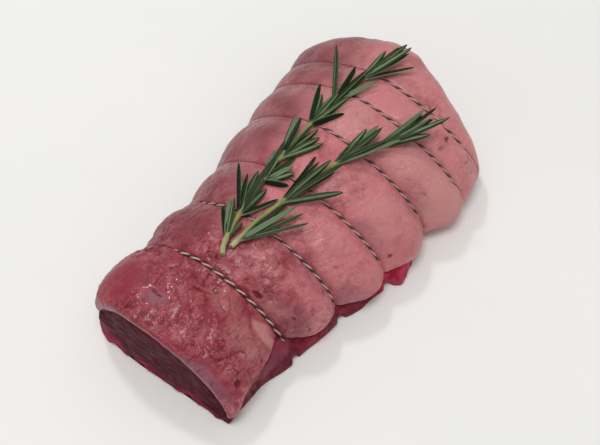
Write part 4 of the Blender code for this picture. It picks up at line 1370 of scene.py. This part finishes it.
def use(tree, group, **values):
    """Places a shared group in a material. Underscores in the names stand for spaces."""
    node = tree.nodes.new("ShaderNodeGroup")
    node.node_tree = group
    for key, value in values.items():
        socket = node.inputs[key.replace("_", " ")]
        if isinstance(value, bpy.types.NodeSocket):
            tree.links.new(value, socket)
        else:
            socket.default_value = value
    return node.outputs


def blend_colours(tree, share, a, b):
    """Colour a where share is 0 and b where it is 1."""
    return add(tree, "ShaderNodeMix", {0: share, 6: a, 7: b}, data_type="RGBA").outputs[2]


def glaze(tree, colour, mask, share, over):
    """Lays a second colour over the first, up to its share, where the mask is 1."""
    return blend_colours(tree, math_node(tree, "MULTIPLY", mask, share), colour, over)


def attribute(tree, name):
    """A value kept on the vertices, read between them."""
    return add(tree, "ShaderNodeAttribute", attribute_name=name).outputs["Fac"]


def finish(material, colour, roughness, height=None, bump=0.4, depth=0.5 * MM, **fixed):
    """Joins colour, roughness and bump to the material's shader. The fixed values are set on its sockets."""
    tree = material.node_tree
    shader = tree.nodes["Principled BSDF"]
    for key, value in fixed.items():
        shader.inputs[key.replace("_", " ")].default_value = value
    tree.links.new(colour, shader.inputs["Base Color"])
    tree.links.new(roughness, shader.inputs["Roughness"])
    if height is not None:
        dent = add(tree, "ShaderNodeBump", {"Strength": bump, "Distance": depth, "Height": height})
        tree.links.new(dent.outputs[0], shader.inputs["Normal"])
    return shader


def open_material(material):
    """Turns on the material's nodes and returns its tree and the place on the object."""
    material.use_nodes = True
    tree = material.node_tree
    return tree, add(tree, "ShaderNodeTexCoord").outputs["Object"]


def stretched(tree, vector, scale):
    """The place scaled along each axis: a pattern read there is longer where the scale is below 1."""
    return add(tree, "ShaderNodeMapping", {"Vector": vector, "Scale": scale}).outputs[0]


# %% [markdown]
# The fat's colour is painted in masks on its vertices: how rosy, how dark, how craggy, how lilac and how pale
# each place is. They follow the real joint, which is deep rose on the craggy front lobes, dark red brown on
# its left flank, partly its own colour and partly painted shade, paler on its right flank, partly painted
# light, and pale tan rose on the stretched lobes behind, with lilac silverskin in places. A texture painted
# by hand would do too, but masks made by rule need no picture. The shader adds what is finer.

# %% Masks on the fat
# (place along X, how rosy), then what is added to the left, partly its own colour and partly painted shade,
# what is taken off to the right, partly its own paler colour and partly painted light, and what is added at
# each loop.
ROSY = ((CUT_X, 0.95), (-0.085, 0.92), (-0.0697, 0.80), (-0.050, 0.52), (-0.0374, 0.34), (-0.018, 0.14),
        (0.02, 0.14), (0.060, 0.10), (HEEL_X, 0.22))
ROSY_LEFT_WITH_SHADE, ROSY_RIGHT_WITH_LIGHT = (0.28, 0.030, 0.018), (0.32, 0.027, 0.020)
ROSY_DRIFT, ROSY_DRIFT_SIZE = 0.22, 0.016
ROSY_AT_LOOP, LOOP_REACH, LOOP_DRIFT_SIZE = 0.30, 2.5 * MM, 0.006
# The left flank, darker partly in its own colour and partly as painted shade: (place across, length), (place
# along, length) and what is added on the heel.
DUSKY_ACROSS, DUSKY_ALONG, DUSKY_HEEL = (0.004, 0.026), (-0.075, 0.02), (0.35, 0.085, 0.03)
DUSKY_EDGE, DUSKY_EDGE_SIZE, DUSKY_DRIFT, DUSKY_DRIFT_SIZE = 0.008, 0.020, 0.40, 0.012
PALE_BEHIND = (0.45, 0.012, 0.030)
# Patches: middle, radius along the joint, radius across it, how much.
LILAC_SPOTS = (
    ((-0.099, 0.0165, 0.045), 0.0038, 0.0062, 0.95),
    ((-0.1135, -0.0265, 0.031), 0.0028, 0.016, 1.0),
    ((-0.063, -0.040, 0.024), 0.009, 0.013, 0.50),
    ((-0.040, -0.034, 0.034), 0.006, 0.014, 0.42),
    ((-0.030, -0.052, 0.015), 0.014, 0.008, 0.55),
    ((-0.006, -0.046, 0.030), 0.006, 0.016, 0.30),
    ((0.028, -0.052, 0.032), 0.008, 0.014, 0.28),
    ((0.0782, 0.0499, 0.027), 0.015, 0.014, 1.00),
    ((-0.0035, -0.0408, 0.0363), 0.005, 0.006, 0.35),
)
PALE_SPOTS = (
    ((-0.0765, -0.032, 0.027), 0.0036, 0.0088, 1.00),
    ((-0.079, -0.012, 0.0405), 0.007, 0.010, 0.30),
    ((-0.0225, -0.031, 0.043), 0.012, 0.016, 0.35),
    ((0.010, -0.030, 0.047), 0.014, 0.018, 0.25),
    ((-0.055, -0.016, 0.046), 0.008, 0.012, 0.30),
    ((0.0387, -0.0424, 0.0432), 0.012, 0.012, 0.45),
    ((0.0423, 0.0009, 0.0538), 0.014, 0.014, 0.50),
    ((0.0344, 0.0406, 0.0377), 0.012, 0.012, 0.30),
    ((0.0400, -0.0600, 0.0260), 0.016, 0.014, 0.80),
    ((-0.0880, -0.0290, 0.0335), 0.009, 0.012, 0.38),
    ((-0.0660, -0.0270, 0.0305), 0.006, 0.010, 0.35),
    ((0.0080, -0.0480, 0.0340), 0.014, 0.014, 0.50),
)


def paint(piece, name, values):
    """Keeps a number for each vertex of the piece, for its shader to read."""
    layer = piece.data.attributes.new(name, "FLOAT", "POINT")
    layer.data.foreach_set("value", np.clip(values, 0.0, 1.0).astype(np.float32))


def places_of(piece):
    """Where the vertices of the piece are, one row each."""
    co = np.zeros(len(piece.data.vertices) * 3, np.float32)
    piece.data.vertices.foreach_get("co", co)
    return co.reshape(-1, 3).astype(float)


def band(places, much, start, length):
    """A broad band of a mask: 0 up to start, rising to much over the length past it."""
    return much * ramp(places, start, length)


p = places_of(cap)
x, y = p[:, 0], p[:, 1]
moved = bent(p, 0.008, 0.003)
# The left flank is made redder: partly its own colour, partly painted shade.
rosy = np.interp(moved[:, 0], *zip(*ROSY)) + band(y, *ROSY_LEFT_WITH_SHADE)
rosy += ROSY_DRIFT * field(p, ROSY_DRIFT_SIZE, 31)
rosy += spots(moved, BLUSH_SPOTS)
rosy += ROSY_AT_LOOP * np.exp(-to_loop(x) / LOOP_REACH) * (0.6 + field(p, LOOP_DRIFT_SIZE, 32))
# The right flank is made paler: partly its own colour, partly painted light.
rosy -= band(-y, *ROSY_RIGHT_WITH_LIGHT)
paint(cap, "rosy", rosy)
# The left flank and the heel are painted darker: on the flank partly its own red brown, partly painted shade.
shaded_left_flank = ramp(y - DUSKY_EDGE * field(p, DUSKY_EDGE_SIZE, 33), *DUSKY_ACROSS) * ramp(x, *DUSKY_ALONG)
dusky_and_painted_shade = shaded_left_flank * (0.82 + DUSKY_DRIFT * field(p, DUSKY_DRIFT_SIZE, 34)) + band(x, *DUSKY_HEEL)
paint(cap, "dusky_and_painted_shade", dusky_and_painted_shade)
paint(cap, "craggy", cragginess(p))
paint(cap, "lilac", spots(moved, LILAC_SPOTS))
paint(cap, "pale", spots(moved, PALE_SPOTS) + band(x, *PALE_BEHIND))
print("rosy from", round(float(rosy.min()), 2), "to", round(float(rosy.max()), 2))

# %% [markdown]
# Wet fat has soft broken highlights: a thin clear coat, strongest on the crags, lies over a rougher body that
# lets a little light through. The clouds, curds, specks and creases each have their own size in metres, so
# they stay true to scale.

# %% The fat's finish
fat_finish = bpy.data.materials.new("wet_fat")
# Tones of the fat where it is pale and where it is rosy, then those that the masks lay over them.
FAT_PLAIN, FAT_LIGHT = (tone(201, 116, 122), tone(138, 34, 54)), (tone(218, 146, 145), tone(178, 82, 90))
FAT_DARK = (tone(178, 80, 97), tone(120, 12, 40))
FAT_PALE, FAT_LILAC, FAT_DUSKY_AND_SHADE = tone(205, 143, 140), tone(140, 84, 98), tone(124, 54, 62)
# The crease tone is partly the red showing through and partly painted shade.
FAT_CREASE_RED_AND_SHADE, FAT_AT_CUT = tone(104, 12, 34), tone(158, 96, 110)


def finish_fat():
    """Mixes the fat's finish: its plain tone first, then what is lighter, darker and rarer."""
    tree, place = open_material(fat_finish)
    clouds = use(tree, PATCHES, Vector=place, Patch_size=0.009, Speck_size=2.0 * MM)
    for_curds, for_net = stretched(tree, place, (0.8, 1.0, 1.0)), stretched(tree, place, (0.85, 1.0, 1.0))
    curds = use(tree, PATCHES, Vector=for_curds, Patch_size=4.2 * MM, Speck_size=1.0 * MM)
    net = use(tree, NET, Vector=for_net, Mesh_size=5.5 * MM, Crease_width=0.10)
    wet = use(tree, WET, Vector=place, Grain_size=1.6 * MM)
    fibres = use(tree, STRANDS, Vector=stretched(tree, place, (0.35, 1.0, 1.0)), Strand_size=2.2 * MM)
    rosy, hollow, craggy = attribute(tree, "rosy"), attribute(tree, "hollow"), attribute(tree, "craggy")
    share = math_node(tree, "MULTIPLY_ADD", clouds["Patches"], 0.56, math_node(tree, "SUBTRACT", rosy, 0.26))
    share = between(tree, share, 0.0, 1.0)
    plain, light, dark = (blend_colours(tree, share, *pair) for pair in (FAT_PLAIN, FAT_LIGHT, FAT_DARK))
    unevenness = math_node(tree, "MULTIPLY_ADD", craggy, 0.80, 0.02)
    colour = glaze(tree, plain, curds["Patches"], unevenness, light)
    colour = glaze(tree, colour, clouds["Specks"], math_node(tree, "MULTIPLY_ADD", craggy, 0.26, 0.14), dark)
    colour = glaze(tree, colour, net["Creases"], unevenness, dark)
    colour = glaze(tree, colour, fibres["Strands"], 0.20, light)
    colour = glaze(tree, colour, attribute(tree, "pale"), 0.75, FAT_PALE)
    colour = glaze(tree, colour, attribute(tree, "lilac"), 0.8, FAT_LILAC)
    # Dark red brown on the left flank, partly painted shade, and on the heel.
    colour = glaze(tree, colour, attribute(tree, "dusky_and_painted_shade"), 0.88, FAT_DUSKY_AND_SHADE)
    # Creases, pits and pleats painted dark crimson: partly the red showing through, partly painted shade.
    colour = blend_colours(tree, between(tree, hollow, 0.08, 0.9, 0.0, 0.90), colour, FAT_CREASE_RED_AND_SHADE)
    at_cut = between(tree, attribute(tree, "inside"), 0.08, 0.4, 0.0, 0.8)
    colour = blend_colours(tree, at_cut, colour, FAT_AT_CUT)
    rough = between(tree, wet["Gloss"], 0.0, 1.0, 0.24, 0.46)
    grain = math_node(tree, "MULTIPLY", wet["Height"], math_node(tree, "MULTIPLY_ADD", craggy, 0.8, 0.35))
    height = math_node(tree, "MULTIPLY_ADD", net["Height"], math_node(tree, "MULTIPLY", craggy, 0.85), grain)
    shader = finish(fat_finish, colour, rough, height, bump=0.8, depth=0.9 * MM,
                    Subsurface_Weight=0.08, Subsurface_Radius=(0.004, 0.0012, 0.001), Subsurface_Scale=1.0,
                    Specular_IOR_Level=0.30, Coat_Roughness=0.10)
    film = math_node(tree, "MULTIPLY", wet["Gloss"], math_node(tree, "MULTIPLY_ADD", craggy, 0.50, 0.05))
    tree.links.new(film, shader.inputs["Coat Weight"])


finish_fat()
cap.data.materials.append(fat_finish)

# %% [markdown]
# Fresh beef turns purple where the air hasn't reached it and bright crimson where it has, so the cut face is
# dark plum and its lower rim is crimson. The fine strands of the muscle are a little lighter than the rest,
# and the raised ones are painted lighter still: partly their own colour, partly painted light.

# %% The lean's finish
lean_finish = bpy.data.materials.new("wet_lean")
# Tones between which the clouds go, on the flank, on the cut face and where it is bright.
LEAN_FLANK, LEAN_CUT = (tone(92, 14, 34), tone(142, 50, 66)), (tone(58, 12, 24), tone(76, 18, 32))
LEAN_BRIGHT = (tone(148, 26, 54), tone(188, 66, 92))
LEAN_STRAND, LEAN_RIDGE_PAINTED_LIGHT, LEAN_SILVER = tone(106, 34, 52), tone(114, 44, 62), tone(150, 98, 112)
# The crimson rim of the cut's foot: up to a height, near the cut, and stronger to the left.
RIM_BELOW, RIM_BEFORE, RIM_LEFT = (-0.0105, 0.0085), (0.106, 0.006), (0.35, 0.005, 0.022)
RIM_SHARE, RIM_DRIFT, RIM_DRIFT_SIZE = 0.42, 1.1, 0.0095
SILVER_PATCH = (((-0.080, -0.040, 0.014), 0.014, 0.005, 0.5),)
SILVER_DRIFT, SILVER_SIZE = 0.20, 0.007
CRIMSON_SPOTS = (
    ((-0.1160, 0.0380, 0.0040), 0.010, 0.011, 0.45),
    ((0.0000, -0.0620, 0.0050), 0.018, 0.014, 1.30),
    ((-0.055, -0.048, 0.004), 0.012, 0.008, 0.30),
)
p = places_of(lean)
moved = bent(p, 0.007, 0.003)
rim = ramp(-p[:, 2], *RIM_BELOW) * ramp(-p[:, 0], *RIM_BEFORE)
rim *= RIM_SHARE + RIM_DRIFT * field(p, RIM_DRIFT_SIZE, 43) + band(p[:, 1], *RIM_LEFT)
paint(lean, "crimson", rim + spots(moved, CRIMSON_SPOTS))
paint(lean, "silver", spots(moved, SILVER_PATCH) + SILVER_DRIFT * field(p, SILVER_SIZE, 41))
print("vertices of the lean that are crimson:", int((rim > 0.5).sum()))


def finish_lean():
    """Mixes the lean's finish: flank and cut face, then strands, silver and crimson."""
    tree, place = open_material(lean_finish)
    clouds = use(tree, PATCHES, Vector=place, Patch_size=0.010, Speck_size=1.2 * MM)
    wet = use(tree, WET, Vector=place, Grain_size=0.9 * MM)
    fibres = use(tree, STRANDS, Vector=stretched(tree, place, (1.0, 0.14, 1.0)), Strand_size=1.0 * MM)
    face = attribute(tree, "face")
    shades = (LEAN_FLANK, LEAN_CUT, LEAN_BRIGHT)
    flank, cut, bright = (blend_colours(tree, clouds["Patches"], *pair) for pair in shades)
    colour = blend_colours(tree, face, flank, cut)
    colour = glaze(tree, colour, fibres["Strands"], 0.28, LEAN_STRAND)
    # The raised strands are painted lighter: partly their own colour, partly painted light.
    colour = glaze(tree, colour, attribute(tree, "strand"), 0.24, LEAN_RIDGE_PAINTED_LIGHT)
    colour = glaze(tree, colour, attribute(tree, "silver"), 0.6, LEAN_SILVER)
    colour = glaze(tree, colour, attribute(tree, "crimson"), 0.9, bright)
    rough = between(tree, wet["Gloss"], 0.0, 1.0, 0.34, 0.55)
    finish(lean_finish, colour, rough, fibres["Height"], bump=0.6, depth=0.5 * MM,
           Subsurface_Weight=0.08, Subsurface_Radius=(0.003, 0.0008, 0.0008), Subsurface_Scale=1.0,
           Specular_IOR_Level=0.05)


finish_lean()
lean.data.materials.append(lean_finish)

# %% [markdown]
# The twine's plies are cotton, dull and slightly fuzzy, and the pale one has drawn up some red from the meat.

# %% The twine's finish


def finish_ply(material, dark, light, stain, stain_share):
    """Cotton that is more stained the further it is from the cut end."""
    tree, place = open_material(material)
    from_cut = add(tree, "ShaderNodeSeparateXYZ", {"Vector": place}).outputs["X"]
    soaked = between(tree, from_cut, LOOPS[0][0], LOOPS[-1][0], 0.0, 0.45)
    clouds = use(tree, PATCHES, Vector=place, Patch_size=0.007, Speck_size=0.5 * MM)
    fibres = use(tree, STRANDS, Vector=place, Strand_size=0.3 * MM)
    colour = blend_colours(tree, fibres["Strands"], dark, light)
    stained = math_node(tree, "MULTIPLY_ADD", clouds["Patches"], stain_share, soaked)
    colour = blend_colours(tree, stained, colour, stain)
    rough = between(tree, clouds["Specks"], 0.0, 1.0, 0.62, 0.85)
    finish(material, colour, rough, fibres["Height"], bump=0.7, depth=0.2 * MM)


finish_ply(dark_ply, tone(34, 34, 38), tone(66, 64, 66), tone(92, 58, 64), 0.30)
finish_ply(pale_ply, tone(180, 148, 142), tone(222, 198, 190), tone(188, 122, 120), 0.40)

# %% [markdown]
# A rosemary needle is deep grey green above, with a lighter rim, and pale and felted below. Down the middle
# of its top runs a pale streak, which is a painted highlight. The stem is soft green, brownish in patches and
# almost white at its cut end. Each needle carries a tone of its own, so that a bunch isn't one flat green.

# %% The rosemary's finish


def finish_leaf():
    """Mixes the needle's finish: its own green, a painted highlight down its middle, its rim, its base and
    its felt.
    """
    tree, place = open_material(leaf_finish)
    clouds = use(tree, PATCHES, Vector=place, Patch_size=0.006, Speck_size=0.6 * MM)
    across = math_node(tree, "ABSOLUTE", attribute(tree, "leaf_across"))
    along, own = attribute(tree, "leaf_along"), attribute(tree, "tone")
    colour = blend_colours(tree, own, tone(7, 21, 3), tone(40, 62, 20))
    colour = glaze(tree, colour, clouds["Patches"], 0.35, tone(12, 26, 8))
    # A pale streak down the middle of each needle is a painted highlight, stronger on needles of a higher
    # tone; the lighter rim is stronger on those of a lower tone.
    painted_highlight_share, rimmed = between(tree, own, 0.35, 0.95, 0.0, 0.75), between(tree, own, 0.3, 0.8, 0.8, 0.0)
    colour = glaze(tree, colour, between(tree, across, 0.5, 0.0), painted_highlight_share, tone(136, 154, 116))
    colour = glaze(tree, colour, between(tree, across, 0.80, 1.0), rimmed, tone(132, 148, 104))
    base = between(tree, along, 0.16, 0.0, 0.0, 0.8)
    colour = blend_colours(tree, base, colour, tone(138, 148, 92))
    rib = between(tree, across, 0.16, 0.0, 0.0, 0.7)
    felt = blend_colours(tree, rib, tone(104, 120, 90), tone(78, 100, 52))
    colour = blend_colours(tree, attribute(tree, "leaf_under"), colour, felt)
    rough = between(tree, clouds["Specks"], 0.0, 1.0, 0.26, 0.40)
    finish(leaf_finish, colour, rough, clouds["Specks"], bump=0.2, depth=0.2 * MM, Specular_IOR_Level=0.18)


def finish_stem():
    """Mixes the stem's finish: green, paler at the cut end and browner in patches."""
    tree, place = open_material(stem_finish)
    clouds = use(tree, PATCHES, Vector=place, Patch_size=0.005, Speck_size=0.6 * MM)
    fibres = use(tree, STRANDS, Vector=stretched(tree, place, (0.2, 1.0, 1.0)), Strand_size=0.5 * MM)
    along = attribute(tree, "along")
    colour = blend_colours(tree, fibres["Strands"], tone(122, 134, 66), tone(152, 160, 92))
    colour = blend_colours(tree, between(tree, along, 0.14, 0.0, 0.0, 0.75), colour, tone(188, 182, 142))
    colour = glaze(tree, colour, clouds["Patches"], 0.3, tone(112, 102, 68))
    rough = between(tree, clouds["Specks"], 0.0, 1.0, 0.45, 0.62)
    finish(stem_finish, colour, rough, fibres["Height"], bump=0.4, depth=0.2 * MM)


finish_leaf()
finish_stem()
print("materials:", ", ".join(sorted(material.name for material in bpy.data.materials)))

# %% [markdown]
# Each piece now takes the place of its solid, which keeps its job as the shape that things bump into. A row
# without joints has one body, called root, and every piece rides on it.

# %% The pieces take their places
dressed = [(cap, "fat", ["fat_cap"]), (lean, "lean", ["lean_meat"])]
dressed += [(loop, "twine", [f"twine_{number}"]) for number, loop in enumerate(loops, start=1)]
dressed += [(piece, "rosemary", [name]) for name, pair in sprigs.items() for piece in pair]
for piece, finish_slot, nodes in dressed:
    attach(piece, "root")
    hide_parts(*nodes)
print(len(dressed), "pieces ride on root")

# %% [markdown]
# The stage is a plain pale floor under soft studio light. A large softbox almost straight above lights the
# top evenly. A small lamp like a window, behind the joint and to its left, gives the glints on the wet fat
# and a soft shadow before the cut, and the pale surroundings fill the rest. The camera looks down at the
# joint from its cut corner, from far enough away to keep the perspective mild.

# %% Floor, light and camera
FLOOR_SIZE = 3.0
FLOOR_TONES, ROOM_TONE, ROOM_STRENGTH = (tone(239, 239, 236), tone(243, 242, 240)), tone(240, 240, 238), 0.52
# Each lamp: azimuth and elevation in degrees, distance and side in metres, and watts.
LAMPS = {"softbox": (290.0, 80.0, 2.0, 0.8, 16.0), "window": (150.0, 55.0, 1.6, 0.16, 4.6)}
CAMERA_AZIMUTH, CAMERA_ELEVATION, CAMERA_DISTANCE = -55.0, 57.0, 0.6358
LENS, SENSOR_WIDTH, NEAREST_SEEN = 70.0, 36.0, 0.01


def make_floor():
    """A flat floor of almost one pale tone."""
    bm = bmesh.new()
    bmesh.ops.create_grid(bm, x_segments=1, y_segments=1, size=0.5 * FLOOR_SIZE)
    floor = object_from("floor", bm)
    material = bpy.data.materials.new("pale_floor")
    tree, place = open_material(material)
    clouds = use(tree, PATCHES, Vector=place, Patch_size=0.25, Speck_size=2.0 * MM)
    colour = blend_colours(tree, clouds["Patches"], *FLOOR_TONES)
    finish(material, colour, between(tree, clouds["Specks"], 0.0, 1.0, 0.55, 0.6))
    floor.data.materials.append(material)


def add_lamp(name, azimuth, elevation, distance, size, power):
    """A square lamp that faces the joint from that direction."""
    light = bpy.data.lights.new(name, "AREA")
    light.shape = "SQUARE"
    light.size = size
    light.energy = power
    lamp = new_object(name, light)
    lamp.location = toward(azimuth, elevation) * distance
    lamp.rotation_euler = toward(azimuth, elevation).to_track_quat("Z", "Y").to_euler()


def toward(azimuth, elevation):
    """The direction from the origin to a camera or lamp. Azimuth 0 stands on -Y and looks along +Y."""
    a, e = math.radians(azimuth), math.radians(elevation)
    return Vector((math.sin(a) * math.cos(e), -math.cos(a) * math.cos(e), math.sin(e)))


make_floor()
for name, lamp in LAMPS.items():
    add_lamp(name, *lamp)
world = bpy.data.worlds.new("studio")
world.use_nodes = True
surroundings = world.node_tree.nodes["Background"].inputs
surroundings["Color"].default_value = ROOM_TONE
surroundings["Strength"].default_value = ROOM_STRENGTH
bpy.context.scene.world = world
bpy.context.scene.view_settings.view_transform = "Standard"

camera = new_object("camera", bpy.data.cameras.new("camera"))
camera.data.lens = LENS
camera.data.sensor_width = SENSOR_WIDTH
camera.data.clip_start = NEAREST_SEEN
back = toward(CAMERA_AZIMUTH, CAMERA_ELEVATION)
camera.location = back * CAMERA_DISTANCE
camera.rotation_euler = back.to_track_quat("Z", "Y").to_euler()
bpy.context.scene.camera = camera
print("camera at, mm:", [round(1000 * c) for c in camera.location])
